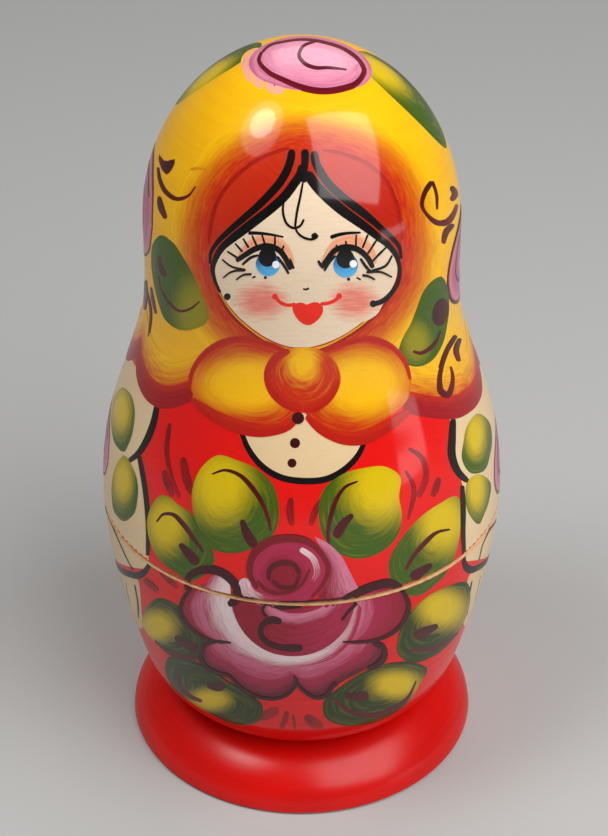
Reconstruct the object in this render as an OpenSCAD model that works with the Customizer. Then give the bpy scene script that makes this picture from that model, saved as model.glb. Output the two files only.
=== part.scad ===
// Nesting doll: a set of turned wooden dolls, one inside the other.
// Each hollow doll is two shells. The lower shell ends in a thin round spigot,
// and the upper shell is counterbored to slip over it. The smallest doll is solid.
// The outer doll stands on a flared foot turned in one with its lower shell.
// Sizes build up from the smallest doll outwards, as such a set is turned.
// Millimetres, +Z up, origin at the middle of the foot's underside, face towards -Y.

/* [Smallest doll] */
// Radius of its belly
small_r = 9.6; // [8:0.1:11]

/* [Fourth doll] */
// Play around the smallest doll
play_4 = 1.2; // [0.8:0.1:2]
// Wall of the shells
wall_4 = 2.8; // [2.2:0.1:3.4]
// Wood under the cavity
floor_4 = 3; // [2:0.1:4]
// Wood above the cavity, in the head
cap_4 = 3.4; // [2:0.1:4.5]
// Height of the spigot
spigot_4 = 5; // [3:0.1:6]
// Rounding in the corner of the cavity's floor
bowl_4 = 2; // [0.5:0.1:2.5]

/* [Third doll] */
// Play around the fourth doll
play_3 = 1.4; // [0.8:0.1:2.4]
// Wall of the shells
wall_3 = 3.4; // [2.6:0.1:4.2]
// Wood under the cavity
floor_3 = 3.4; // [2.4:0.1:4.4]
// Wood above the cavity, in the head
cap_3 = 4.6; // [2.6:0.1:6]
// Height of the spigot
spigot_3 = 6.2; // [4:0.1:7.4]
// Rounding in the corner of the cavity's floor
bowl_3 = 2.4; // [0.5:0.1:3]

/* [Second doll] */
// Play around the third doll
play_2 = 1.6; // [0.8:0.1:2.6]
// Wall of the shells
wall_2 = 4; // [3:0.1:5]
// Wood under the cavity
floor_2 = 4; // [2.8:0.1:5]
// Wood above the cavity, in the head
cap_2 = 6; // [3:0.1:8]
// Height of the spigot
spigot_2 = 7.5; // [5:0.1:9]
// Rounding in the corner of the cavity's floor
bowl_2 = 3; // [0.5:0.1:3.6]

/* [Outer doll] */
// Play around the second doll
play_1 = 2; // [1:0.1:3]
// Wall of the shells
wall_1 = 5; // [3.5:0.1:6]
// Wood under the cavity, above the groove
floor_1 = 3.4; // [2.4:0.1:5]
// Wood above the cavity, in the head
cap_1 = 8; // [4:0.1:10]
// Height of the spigot
spigot_1 = 9; // [6:0.1:11]
// Rounding in the corner of the cavity's floor
bowl_1 = 3; // [0.5:0.1:3.6]

/* [Foot] */
// How far the foot's edge lies in from the belly
foot_in = 2.6; // [0:0.1:6]
// How far the foot's curved top runs on under the body
foot_under = 5; // [2:0.1:8]
// Small flat broken around the foot's lower edge
foot_edge = 0.5; // [0.2:0.1:1]
// Height of the groove between foot and body
groove_h = 8.3; // [6:0.1:10]

/* [Turned outline, as on the outer doll] */
// How far the groove lies in from the belly
heel_in = 11; // [9:0.1:13]
// How far the body swells per millimetre of height just above the groove
heel_slope = 1.5; // [1:0.1:1.8]
// Rise from the groove to the end of the rounded underside
hem_rise = 4.9; // [4:0.1:6]
// How far that place lies in from the belly
hem_in = 6.1; // [5:0.1:7]
// Rise from there to the skirt
skirt_rise = 4.6; // [3.6:0.1:5.6]
// How far the skirt lies in from the belly
skirt_in = 4.4; // [3.6:0.1:4.9]
// Rise from the skirt to the belly, the widest place
belly_rise = 27.2; // [22:0.1:32]
// Rise from the belly to the chest
chest_rise = 4.2; // [3:0.1:6]
// How far the chest lies in from the belly
chest_in = 0.2; // [0.1:0.05:0.4]
// Rise from the chest to the shoulder
shoulder_rise = 5.4; // [4:0.1:7]
// How far the shoulder lies in from the belly
shoulder_in = 0.9; // [0.6:0.05:1.4]
// Rise from the shoulder to the neck
neck_rise = 26.4; // [21:0.1:32]
// How far the neck lies in from the belly
neck_in = 8; // [6:0.1:9]
// Rise from the neck to the middle of the head, where its dome begins
head_rise = 9.5; // [7:0.1:12]
// How far the head lies in from the belly
head_in = 8.2; // [7:0.1:10]
// Rise from there to the top of the head
dome_rise = 26; // [21:0.1:31]
// Drop from the belly to the seam between the shells
seam_drop = 0.8; // [0:0.1:4]

/* [Fits] */
// Gap all round between a spigot and the shell that slips over it
fit_gap = 0.1; // [0.05:0.01:0.15]
// Gap left in the closed seam
seam_gap = 0.15; // [0.1:0.01:0.3]
// Gap above the top of a spigot
end_gap = 0.4; // [0.2:0.05:0.8]
// Gap under a doll that stands in the one around it
rest_gap = 0.05; // [0.05:0.01:0.2]
// Least play around a doll inside another, away from its belly
least_play = 0.8; // [0.5:0.1:1.2]
// Least free height above its head
head_room = 4; // [2:0.1:5]
// Small flat broken along the edges of the seam
seam_edge = 0.25; // [0.1:0.01:0.3]
// Lead-in flat around the top of a spigot
lead_in = 0.4; // [0.2:0.05:0.5]
// Small flat broken around the underside of the inner dolls
base_edge = 0.4; // [0.2:0.05:0.6]

/* [Hidden] */

red = [0.80, 0.05, 0.04];
gold = [0.93, 0.66, 0.10];

// Belly radius of each doll, from the smallest outwards
belly_5 = small_r;
belly_4 = belly_5 + play_4 + wall_4;
belly_3 = belly_4 + play_3 + wall_3;
belly_2 = belly_3 + play_2 + wall_2;
belly_1 = belly_2 + play_1 + wall_1;

// Landmarks of the turned outline on the outer doll, as height and radius
heel_z = groove_h;
hem_z = heel_z + hem_rise;
skirt_z = hem_z + skirt_rise;
belly_z = skirt_z + belly_rise;
chest_z = belly_z + chest_rise;
shoulder_z = chest_z + shoulder_rise;
neck_z = shoulder_z + neck_rise;
head_z = neck_z + head_rise;
crown_z = head_z + dome_rise;
seam_z = belly_z - seam_drop;
heel_r = belly_1 - heel_in;
neck_r = belly_1 - neck_in;
head_r = belly_1 - head_in;
marks = [[heel_z, heel_r], [hem_z, belly_1 - hem_in], [skirt_z, belly_1 - skirt_in],
         [belly_z, belly_1], [chest_z, belly_1 - chest_in], [shoulder_z, belly_1 - shoulder_in],
         [neck_z, neck_r], [head_z, head_r]];

// Slopes that carry a smooth line through the landmarks without bulging past them
function rise(i) = marks[i + 1][0] - marks[i][0];
function grade(i) = (marks[i + 1][1] - marks[i][1]) / rise(i);
function eased(i) = 3 * (rise(i - 1) + rise(i))
    / ((2 * rise(i) + rise(i - 1)) / grade(i - 1) + (rise(i) + 2 * rise(i - 1)) / grade(i));
function slope(i) =
    i == 0 ? heel_slope :
    i == len(marks) - 1 ? 0 :
    grade(i - 1) * grade(i) <= 0 ? 0 : eased(i);

// Radius of the outline at a height on the outer doll
function span_of(z, i = 0) = i == len(marks) - 2 || z <= marks[i + 1][0] ? i : span_of(z, i + 1);
function curve(i, t) =
    (2 * t^3 - 3 * t^2 + 1) * marks[i][1] + (t^3 - 2 * t^2 + t) * rise(i) * slope(i)
    + (3 * t^2 - 2 * t^3) * marks[i + 1][1] + (t^3 - t^2) * rise(i) * slope(i + 1);
function below_head(z) = let (i = span_of(z)) curve(i, (z - marks[i][0]) / rise(i));
function dome(z) = head_r * sqrt(max(0, 1 - ((z - head_z) / dome_rise)^2));
function outline(z) = z > head_z ? dome(z) : below_head(z);

// Each doll is a list: its size against the outer doll, and the height at which it stands
doll_1 = [1, heel_z];
doll_2 = [belly_2 / belly_1, doll_1[1] + floor_1 + rest_gap];
doll_3 = [belly_3 / belly_1, doll_2[1] + floor_2 + rest_gap];
doll_4 = [belly_4 / belly_1, doll_3[1] + floor_3 + rest_gap];
small = [belly_5 / belly_1, doll_4[1] + floor_4 + rest_gap];

// Height on a doll of a landmark, and radius of a doll at a height
function up(d, z) = d[1] + d[0] * (z - heel_z);
function rad(d, z) = d[0] * outline(heel_z + (z - d[1]) / d[0]);
function row(a, b, n) = [for (i = [0:n]) a + (b - a) * i / n];
function side(d, a, b, n) = [for (z = row(a, b, n)) [rad(d, z), z]];
function back(list) = [for (i = [len(list) - 1:-1:0]) list[i]];

// Rounded top, from the middle of the head up
function cap_curve(r, z, h, n) =
    [for (i = [1:n]) let (a = 90 * i / n) [i == n ? 0 : r * cos(a), z + h * sin(a)]];

// The cavity follows the outline inside the wall. It is never narrower than the doll that it
// holds and the least play, it opens all the way to the seam, and it is rounded at the floor.
function corner(h, c) = h >= c ? 0 : c - sqrt(c^2 - (c - h)^2);
function held_low(held, z) = rad(held, max(z, held[1]));
function held_high(held, z) = z > up(held, head_z) ? rad(held, z) : max(rad(held, z), held[0] * head_r);
function reach(d, z) = z > up(d, neck_z) ? min(rad(d, z), d[0] * neck_r) : rad(d, z);
function bowl_r(d, held, wall, under, bowl, z) =
    max(rad(d, z) - wall - corner(z - under, bowl), held_low(held, z) + least_play);
function bell_r(d, held, wall, z) = max(reach(d, z) - wall, held_high(held, z) + least_play);
function bell_top(d, held, cap) = max(up(d, crown_z) - cap, up(held, crown_z) + head_room);

// The foot's curved top runs from the table into the groove
core_r = heel_r - foot_under;
foot_w = belly_1 - foot_in - core_r;
foot_h = heel_z / sqrt(1 - (foot_under / foot_w)^2);
function foot_at(z) = core_r + foot_w * sqrt(1 - (z / foot_h)^2);
foot_side = concat(
    [[0, 0], [foot_at(foot_edge) - foot_edge, 0]],
    [for (i = [0:9]) let (z = foot_edge + (heel_z - foot_edge) * sin(9 * i)) [foot_at(z), z]]);
function plain_base(d) = [[0, d[1]], [d[0] * heel_r - base_edge, d[1]]];

// Half section of a lower shell, with its spigot
function lower_half(d, held, stand, start, wall, floor_t, spigot, bowl) =
    let (seam = up(d, seam_z), bend = up(d, skirt_z), under = d[1] + floor_t, rim = seam + spigot,
         r_seam = rad(d, seam), r_in = bowl_r(d, held, wall, under, bowl, seam),
         r_spigot = (r_seam + r_in) / 2)
    concat(
        stand,
        side(d, start, bend, 8),
        side(d, bend + (seam - bend) / 8, seam - seam_edge, 7),
        [[r_seam - seam_edge, seam], [r_spigot, seam], [r_spigot, rim - lead_in]],
        [[r_spigot - lead_in, rim], [r_in + lead_in / 2, rim], [r_in, rim - lead_in / 2]],
        [for (z = row(seam, under + bowl, 8)) [bowl_r(d, held, wall, under, bowl, z), z]],
        [for (i = [1:6]) let (z = under + bowl * (1 - sin(15 * i)))
            [bowl_r(d, held, wall, under, bowl, z), z]],
        [[0, under]]);

// Half section of an upper shell, with the counterbore that takes the spigot
function upper_half(d, held, wall, floor_t, cap, spigot, bowl) =
    let (seam = up(d, seam_z), low = seam + seam_gap, mid = up(d, head_z), socket = seam + spigot + end_gap,
         r_in = bowl_r(d, held, wall, d[1] + floor_t, bowl, seam),
         r_socket = (rad(d, seam) + r_in) / 2 + fit_gap)
    concat(
        [[r_socket, low], [rad(d, low) - seam_edge, low]],
        side(d, low + seam_edge, mid, 15),
        cap_curve(d[0] * head_r, mid, up(d, crown_z) - mid, 12),
        back(cap_curve(bell_r(d, held, wall, mid), mid, bell_top(d, held, cap) - mid, 8)),
        [for (z = row(mid, socket, 10)) [bell_r(d, held, wall, z), z]],
        [[r_socket, socket]]);

module turned(points) { rotate_extrude($fn = 96) polygon(points); }

module outer_lower() {
    color(red) turned(lower_half(doll_1, doll_2, foot_side, heel_z,
                                 wall_1, floor_1, spigot_1, bowl_1));
}

module outer_upper() {
    color(gold) turned(upper_half(doll_1, doll_2, wall_1, floor_1, cap_1, spigot_1, bowl_1));
}

module doll_2_lower() {
    color(red) turned(lower_half(doll_2, doll_3, plain_base(doll_2), doll_2[1] + base_edge,
                                 wall_2, floor_2, spigot_2, bowl_2));
}

module doll_2_upper() {
    color(gold) turned(upper_half(doll_2, doll_3, wall_2, floor_2, cap_2, spigot_2, bowl_2));
}

module doll_3_lower() {
    color(red) turned(lower_half(doll_3, doll_4, plain_base(doll_3), doll_3[1] + base_edge,
                                 wall_3, floor_3, spigot_3, bowl_3));
}

module doll_3_upper() {
    color(gold) turned(upper_half(doll_3, doll_4, wall_3, floor_3, cap_3, spigot_3, bowl_3));
}

module doll_4_lower() {
    color(red) turned(lower_half(doll_4, small, plain_base(doll_4), doll_4[1] + base_edge,
                                 wall_4, floor_4, spigot_4, bowl_4));
}

module doll_4_upper() {
    color(gold) turned(upper_half(doll_4, small, wall_4, floor_4, cap_4, spigot_4, bowl_4));
}

module doll_5() {
    color(red) turned(concat(
        plain_base(small),
        side(small, small[1] + base_edge, up(small, skirt_z), 6),
        side(small, up(small, skirt_z) + small[0] * skirt_rise, up(small, head_z), 16),
        cap_curve(small[0] * head_r, up(small, head_z), small[0] * dome_rise, 10)));
}

outer_lower();
outer_upper();
doll_2_lower();
doll_2_upper();
doll_3_lower();
doll_3_upper();
doll_4_lower();
doll_4_upper();
doll_5();
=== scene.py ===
"""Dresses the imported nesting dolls: smooth turned shells with bare wood inside, and the
decoration as thin coats of paint, laid stroke by stroke on the turned surface."""

import math
from types import SimpleNamespace

import bmesh
import bpy
import numpy as np
from mathutils import Matrix, Vector


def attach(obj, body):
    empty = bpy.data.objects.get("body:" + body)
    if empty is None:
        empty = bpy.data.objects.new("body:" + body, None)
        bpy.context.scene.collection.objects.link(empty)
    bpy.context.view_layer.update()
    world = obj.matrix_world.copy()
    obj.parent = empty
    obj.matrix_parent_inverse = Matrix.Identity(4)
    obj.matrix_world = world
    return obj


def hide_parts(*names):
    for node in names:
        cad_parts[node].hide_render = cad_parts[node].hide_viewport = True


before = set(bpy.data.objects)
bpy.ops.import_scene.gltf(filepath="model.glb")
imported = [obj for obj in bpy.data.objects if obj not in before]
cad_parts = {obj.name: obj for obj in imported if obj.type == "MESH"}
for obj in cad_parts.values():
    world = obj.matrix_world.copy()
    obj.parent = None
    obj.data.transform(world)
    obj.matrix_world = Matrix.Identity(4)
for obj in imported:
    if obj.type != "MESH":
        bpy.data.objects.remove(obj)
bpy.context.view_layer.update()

MM = 0.001

# The dolls from the outside in: name, nodes of the halves, and how many flats go round
SETS = [
    ("doll_1", "outer_lower", "outer_upper", 192),
    ("doll_2", "doll_2_lower", "doll_2_upper", 160),
    ("doll_3", "doll_3_lower", "doll_3_upper", 128),
    ("doll_4", "doll_4_lower", "doll_4_upper", 112),
    ("doll_5", None, "doll_5", 96),
]

# The photograph's frame and the camera that saw it; lengths in millimetres
PHOTO_W, PHOTO_H = 608, 836
FOCAL_PX = 1808.2
AXIS_PX = 301.6
MIDDLE_PX = PHOTO_H / 2
TILT = math.radians(32.41)
CAMERA_REACH = 278.8
CAMERA_AIM = 56.1
PX_MM = CAMERA_REACH / FOCAL_PX
NEAR_DOLL = 75.0
RAY_STEPS = 200
RAY_HALVINGS = 24
SENSOR_WIDTH = 36
CLIP_START = 0.01
BELLY_R = 31.0
DEGREE_PX = math.radians(BELLY_R) / PX_MM

# Coats of paint: how high the first one lies, the step to the next, and how deep edges are sunk
FIRST_COAT = 0.03
COAT_STEP = 0.008
SINK = 0.012

# Turned outline: lengths in millimetres, the angle of a corner, and two shares
SAME_RING = 0.02
STRAIGHT = 0.004
CORNER = math.radians(25)
OUTLINE_GAP = 0.7
FOOT_LOW, FOOT_HIGH = 2.0, 20.0
STAR_RISE = 0.48
SEAM_SHARE = 0.314


# Curves

CURVE_STEPS = 16
ARC_STEPS = 12


def hermite(points, steps):
    """Smooth curve through points, with that many steps on each span."""
    p = np.asarray(points, float)
    gap = np.maximum(np.linalg.norm(np.diff(p, axis=0), axis=1), 1e-6)[:, None]
    secant = np.diff(p, axis=0) / gap
    inner = (secant[:-1] * gap[1:] + secant[1:] * gap[:-1]) / (gap[:-1] + gap[1:])
    tangent = np.vstack([secant[:1], inner, secant[-1:]])
    t = np.linspace(0, 1, steps, endpoint=False)[:, None]
    spans = [
        (2 * t**3 - 3 * t**2 + 1) * p[i] + (t**3 - 2 * t**2 + t) * gap[i] * tangent[i]
        + (3 * t**2 - 2 * t**3) * p[i + 1] + (t**3 - t**2) * gap[i] * tangent[i + 1]
        for i in range(len(p) - 1)
    ]
    return np.vstack(spans + [p[-1:]])


def even(points, count):
    """Points moved to even steps along their line."""
    far = np.concatenate([[0], np.cumsum(np.linalg.norm(np.diff(points, axis=0), axis=1))])
    at = np.linspace(0, far[-1], count)
    return np.column_stack([np.interp(at, far, points[:, k]) for k in range(points.shape[1])])


def length(points):
    return float(np.linalg.norm(np.diff(points, axis=0), axis=1).sum())


def open_curve(points, gap, count=None):
    line = hermite(points, CURVE_STEPS) if len(points) > 2 else np.asarray(points, float)
    return even(line, count or max(4, math.ceil(length(line) / gap) + 1))


def closed_curve(points, gap):
    """Smooth loop through points; its first point is repeated at its end."""
    p = [tuple(q) for q in points]
    line = hermite(p[-2:] + p + p[:3], CURVE_STEPS)[2 * CURVE_STEPS:-2 * CURVE_STEPS]
    return even(line, max(12, math.ceil(length(line) / gap) + 1))


# The turned outlines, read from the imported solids

def places_of(mesh):
    """A mesh's vertices in millimetres."""
    co = np.zeros(3 * len(mesh.vertices), np.float32)
    mesh.vertices.foreach_get("co", co)
    return co.reshape(-1, 3).astype(float) / MM


def half_section(node):
    """Rings of a turned node as (radius, height), in order along its half section."""
    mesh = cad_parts[node].data
    co = places_of(mesh)
    spots = np.column_stack([np.hypot(co[:, 0], co[:, 1]), co[:, 2]])
    rings, own = [], []
    seen = {}
    for spot in spots:
        key = (round(spot[0], 2), round(spot[1], 2))
        if key not in seen:
            near = [i for i, r in enumerate(rings) if math.dist(r, spot) < SAME_RING]
            seen[key] = near[0] if near else len(rings)
            if not near:
                rings.append(tuple(spot))
        own.append(seen[key])
    links = {i: set() for i in range(len(rings))}
    for edge in mesh.edges:
        a, b = own[edge.vertices[0]], own[edge.vertices[1]]
        if a != b:
            links[a].add(b)
            links[b].add(a)
    ends = [i for i in links if len(links[i]) == 1]
    walk = [min(ends, key=lambda i: rings[i][1])]
    while len(walk) < len(rings):
        ahead = [i for i in links[walk[-1]] if i not in walk]
        if not ahead:
            break
        walk.append(ahead[0])
    return closed_on_axis(drop_straight(np.array([rings[i] for i in walk])))


def closed_on_axis(line):
    """The line with a point on the axis put before or after a flat end."""
    if line[0, 0] > SAME_RING:
        line = np.vstack([line[0] * [0, 1], line])
    if line[-1, 0] > SAME_RING:
        line = np.vstack([line, line[-1] * [0, 1]])
    return line


def drop_straight(line):
    """The line without the points that lie on the straight between their neighbours."""
    kept = [line[0]]
    for point, after in zip(line[1:-1], line[2:]):
        chord = after - kept[-1]
        off = abs(chord[0] * (point - kept[-1])[1] - chord[1] * (point - kept[-1])[0])
        if off / np.linalg.norm(chord) > STRAIGHT:
            kept.append(point)
    return np.array(kept + [line[-1]])


def rounded(stretch):
    """A stretch between corners as a smooth line; one that ends on the axis ends level."""
    if len(stretch) < 3:
        return stretch
    if stretch[-1][0] < SAME_RING:
        beyond = stretch[-3:-1][::-1] * [-1, 1]
        line = hermite(np.vstack([stretch, beyond]), ARC_STEPS)[:ARC_STEPS * (len(stretch) - 1) + 1]
    elif stretch[0][0] < SAME_RING:
        return rounded(stretch[::-1])[::-1]
    else:
        line = hermite(stretch, ARC_STEPS)
    return even(line, max(3, math.ceil(length(line) / OUTLINE_GAP) + 1))


def smooth_section(rings):
    """The section with its curves smoothed, and the places of its corners on it."""
    way = np.diff(rings, axis=0)
    turn = np.abs(np.diff(np.unwrap(np.arctan2(way[:, 1], way[:, 0]))))
    sharp = turn > CORNER
    sharp[0] |= abs(way[0, 1]) < STRAIGHT
    sharp[-1] |= abs(way[-1, 1]) < STRAIGHT
    marks = [0] + [i + 1 for i in np.flatnonzero(sharp)] + [len(rings) - 1]
    line, corners = [rings[0]], []
    for a, b in zip(marks, marks[1:]):
        line.extend(rounded(rings[a:b + 1])[1:])
        corners.append(len(line) - 1)
    return np.array(line), corners[:-1]


def read_section(node):
    """A node's smooth section, its corners, and the place on it where the painted outside
    meets the seam, which is its widest ring."""
    rings = half_section(node)
    line, corners = smooth_section(rings)
    edge = rings[np.argmax(rings[:, 0])]
    seam = int(np.argmin(np.linalg.norm(line - edge, axis=1)))
    return SimpleNamespace(line=line, corners=corners, seam=seam)


def body_start(section):
    """Index of the groove above the foot, or of the bottom edge of a doll without a foot."""
    line = section.line
    rise = line[:, 1] - line[0, 1]
    groove = (rise > FOOT_LOW) & (rise < FOOT_HIGH) & (np.arange(len(line)) < section.seam)
    inward = groove[1:-1] & (line[1:-1, 0] < line[:-2, 0]) & (line[1:-1, 0] <= line[2:, 0])
    return int(np.argmax(inward)) + 1 if inward.any() else section.corners[0]


def lengths(line):
    return np.concatenate([[0], np.cumsum(np.linalg.norm(np.diff(line, axis=0), axis=1))])


def half_shares(line):
    far = lengths(line)
    return far / far[-1]


def read_doll(name, lower, upper, flats):
    """A doll's halves and its outline from the bottom to the crown. A share says how far up
    the outline a point is: 0 at the bottom, 1 at the seam and 2 at the crown."""
    doll = SimpleNamespace(name=name, flats=flats, halves={})
    top = read_section(upper)
    doll.halves[upper] = top
    if lower:
        base = doll.halves[lower] = read_section(lower)
        low, high = base.line[body_start(base):base.seam + 1], top.line[top.seam:]
    else:
        body = top.line[body_start(top):]
        split = int(np.searchsorted(half_shares(body), SEAM_SHARE))
        low, high = body[:split + 1], body[split:]
    doll.outline = np.vstack([low, high])
    doll.share = np.concatenate([half_shares(low) * (1 - 1e-9), 1 + half_shares(high)])
    doll.seam_low, doll.seam_high = low[-1, 1], high[0, 1]
    doll.star = low[0, 1] + STAR_RISE * (high[-1, 1] - low[0, 1])
    doll.turn = np.arctan2(doll.outline[:, 1] - doll.star, doll.outline[:, 0])
    way = np.gradient(doll.outline, lengths(doll.outline) + 1e-6 * np.arange(len(doll.share)), axis=0)
    doll.way = way / np.linalg.norm(way, axis=1)[:, None]
    return doll


DOLLS = [read_doll(*one) for one in SETS]
OUTER = DOLLS[0]
OUTLINE = OUTER.outline
GROOVE_Z = OUTLINE[0, 1]
SEAM_Z = OUTER.seam_high
CROWN_Z = OUTLINE[-1, 1]
CROWN_CAP = 2.0
DOME_DEPTH = 20.0


def radius_at(z):
    return np.interp(z, OUTLINE[:, 1], OUTLINE[:, 0])


def shares_of(points, doll):
    """How far up a doll's outline points near its surface are."""
    turn = np.arctan2(points[:, 2] - doll.star, np.hypot(points[:, 0], points[:, 1]))
    return np.interp(turn, doll.turn, doll.share)


def on_doll(share, azimuth, doll):
    """Points of a doll's surface and the outward directions there."""
    r, z = (np.interp(share, doll.share, doll.outline[:, k]) for k in (0, 1))
    out, up = np.interp(share, doll.share, doll.way[:, 1]), -np.interp(share, doll.share, doll.way[:, 0])
    side, front = np.sin(azimuth), -np.cos(azimuth)
    return np.column_stack([r * side, r * front, z]), np.column_stack([out * side, out * front, up])


# Charts: ways to say where paint goes on the outer doll

def camera_axes(turn):
    """Place of the photograph's camera, turned about the doll, and its view axes."""
    a = math.radians(turn)
    out = np.array([math.sin(a), -math.cos(a), 0])
    right = np.array([math.cos(a), math.sin(a), 0])
    up = np.array([0, 0, 1.0])
    place = out * CAMERA_REACH * math.cos(TILT) + up * (CAMERA_AIM + CAMERA_REACH * math.sin(TILT))
    ahead = -out * math.cos(TILT) - up * math.sin(TILT)
    down = out * math.sin(TILT) - up * math.cos(TILT)
    return place, ahead, right, down


def seen_from(turn):
    """Chart in which points are pixels of the photograph's camera, turned about the doll."""
    place, ahead, right, down = camera_axes(turn)

    def chart(pixels):
        way = (ahead + (pixels[:, :1] - AXIS_PX) / FOCAL_PX * right
               + (pixels[:, 1:] - MIDDLE_PX) / FOCAL_PX * down)
        reach = np.linspace(CAMERA_REACH - NEAR_DOLL, CAMERA_REACH + NEAR_DOLL, RAY_STEPS)

        def above(t):
            p = place + way * t[:, None]
            return np.hypot(p[:, 0], p[:, 1]) - radius_at(p[:, 2])

        height = np.stack([above(np.full(len(way), t)) for t in reach])
        inside = height < 0
        first = np.where(inside.any(0), inside.argmax(0), height.argmin(0))
        near, far = reach[np.maximum(first - 1, 0)], reach[first]
        for _ in range(RAY_HALVINGS):
            half = (near + far) / 2
            deep = above(half) < 0
            far = np.where(deep, half, far)
            near = np.where(deep, near, half)
        return onto_doll(place + way * far[:, None])
    return chart


def onto_doll(points):
    """Points moved level onto the surface of the outer doll."""
    r = np.maximum(np.hypot(points[:, 0], points[:, 1]), 1e-9)
    z = np.clip(points[:, 2], GROOVE_Z, CROWN_Z)
    fit = np.where(z < CROWN_Z - CROWN_CAP, radius_at(z) / r, 1.0)
    return np.column_stack([points[:, :2] * fit[:, None], z])


def wrapped(spots):
    """Chart in which points are degrees to the right of the face, and heights."""
    a = np.radians(spots[:, 0])
    r = radius_at(spots[:, 1])
    return np.column_stack([r * np.sin(a), -r * np.cos(a), spots[:, 1]])


def unrolled(spots):
    """Chart of the surface rolled out flat, in pixels of the photograph's size at the belly."""
    return wrapped(np.column_stack([spots[:, 0] / DEGREE_PX, spots[:, 1] * PX_MM]))


def rolled_out(places):
    """Degrees and heights as points on the unrolled chart."""
    return np.asarray(places, float) * [DEGREE_PX, 1 / PX_MM]


def crown(spots):
    """Chart of the head seen from above, in pixels of the photograph's size from the axis."""
    flat = spots * PX_MM
    dome = OUTLINE[OUTLINE[:, 1] > CROWN_Z - DOME_DEPTH][::-1]
    return np.column_stack([flat, np.interp(np.hypot(*flat.T), dome[:, 0], dome[:, 1])])


def from_above(places):
    """Millimetres from the axis as points on the crown's chart."""
    return np.asarray(places, float) / PX_MM


PHOTO = seen_from(0)


# Paint colours, as 8-bit values on a screen

SCARF = (252, 190, 2)
SCARF_RED = (198, 40, 4)
DEEP_RED = (150, 14, 4)
CRIMSON = (160, 14, 26)
BOW_RED = (184, 22, 10)
HAIR = (186, 28, 4)
# Painted light: the lighter hair red, strongest at the upper left of the hair where the highlight falls
HAIR_PAINTED_LIGHT = (200, 46, 12)
HAIR_RIM = (140, 14, 6)
SKIN = (238, 213, 183)
SKIN_WARM = (230, 196, 164)
BLUSH = (236, 132, 114)
LID = (238, 160, 122)
IRIS = (24, 104, 168)
IRIS_LIGHT = (84, 176, 226)
LIPS = (246, 36, 6)
LIPS_DEEP = (220, 22, 6)
DRESS = (232, 10, 4)
DRESS_DEEP = (206, 6, 6)
CREAM = (234, 204, 160)
CREAM_LOW = (214, 178, 130)
LEAF_YELLOW = (222, 188, 2)
LEAF_OLIVE = (150, 140, 4)
LEAF_GREEN = (60, 90, 6)
# Painted shade: the darker green given to the lowest leaves, for the shadow under the belly
SHADED_LEAF_GREEN = (32, 56, 4)
PINK = (174, 32, 74)
PALE_PINK = (212, 120, 148)
TOP_PINK = (240, 156, 180)
MAUVE = (184, 84, 124)
ROSE_RED = (144, 4, 34)
# Dark rose paint; on the lowest petals it is also painted shade for the underside of the belly
ROSE_DARK = (86, 2, 24)
ROSE_WHITE = (238, 212, 214)
MAROON = (62, 4, 14)
MAROON_RED = (116, 8, 20)
BLACK = (8, 5, 5)
WHITE = (252, 250, 246)


def linear(colour):
    """Screen colour as linear light."""
    c = np.asarray(colour, float) / 255
    return np.where(c <= 0.04045, c / 12.92, ((c + 0.055) / 1.055) ** 2.4)


# Coats of paint on the outer doll, in the order they were laid on

COATS = []
STROKE_GAP = 2.2
PATCH_GAP = 4.0
EDGE_PX = 0.5
STROKE_EDGE = 0.25
PATCH_EDGE = 0.2
PATCH_CORE = 0.04
THINNEST = 0.2
WIDTH_STEPS = 8
END_PLACES = np.array([0, 0.25, 0.5, 0.75])
END_ROOM = 0.5
ELLIPSE_STEP = 30
LONG_CELL = 0.9
MOST_PARTS = 8
ALL_DOLLS = range(len(DOLLS))
SMALLEST = len(DOLLS) - 1


def eased(x, low, high):
    """Smooth rise from 0 at low to 1 at high."""
    t = np.clip((x - low) / (high - low), 0, 1)
    return t * t * (3 - 2 * t)


def finer(grid, axis, spots):
    """The grid read at places between its rows or columns."""
    rows = np.moveaxis(grid, axis, 0)
    low = np.minimum(spots.astype(int), len(rows) - 2)
    share = (spots - low).reshape(-1, 1, 1)
    return np.moveaxis(rows[low] * (1 - share) + rows[low + 1] * share, 0, axis)


def on_chart(grid, chart):
    return chart(grid.reshape(-1, 2)).reshape(grid.shape[:2] + (3,))


def refined(grid, brush, chart):
    """The grid, made finer where its cells are long on the doll, with its brush and points."""
    points = on_chart(grid, chart)
    for axis in (0, 1):
        gap = np.linalg.norm(np.diff(points, axis=axis), axis=2).max(1 - axis)
        parts = np.clip(np.ceil(gap / LONG_CELL), 1, MOST_PARTS).astype(int)
        spots = np.concatenate([i + np.arange(k) / k for i, k in enumerate(parts)] + [[len(parts)]])
        if len(spots) > len(parts) + 1:
            grid, brush = finer(grid, axis, spots), finer(brush, axis, spots)
            points = on_chart(grid, chart)
    return grid, brush, points


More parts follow.
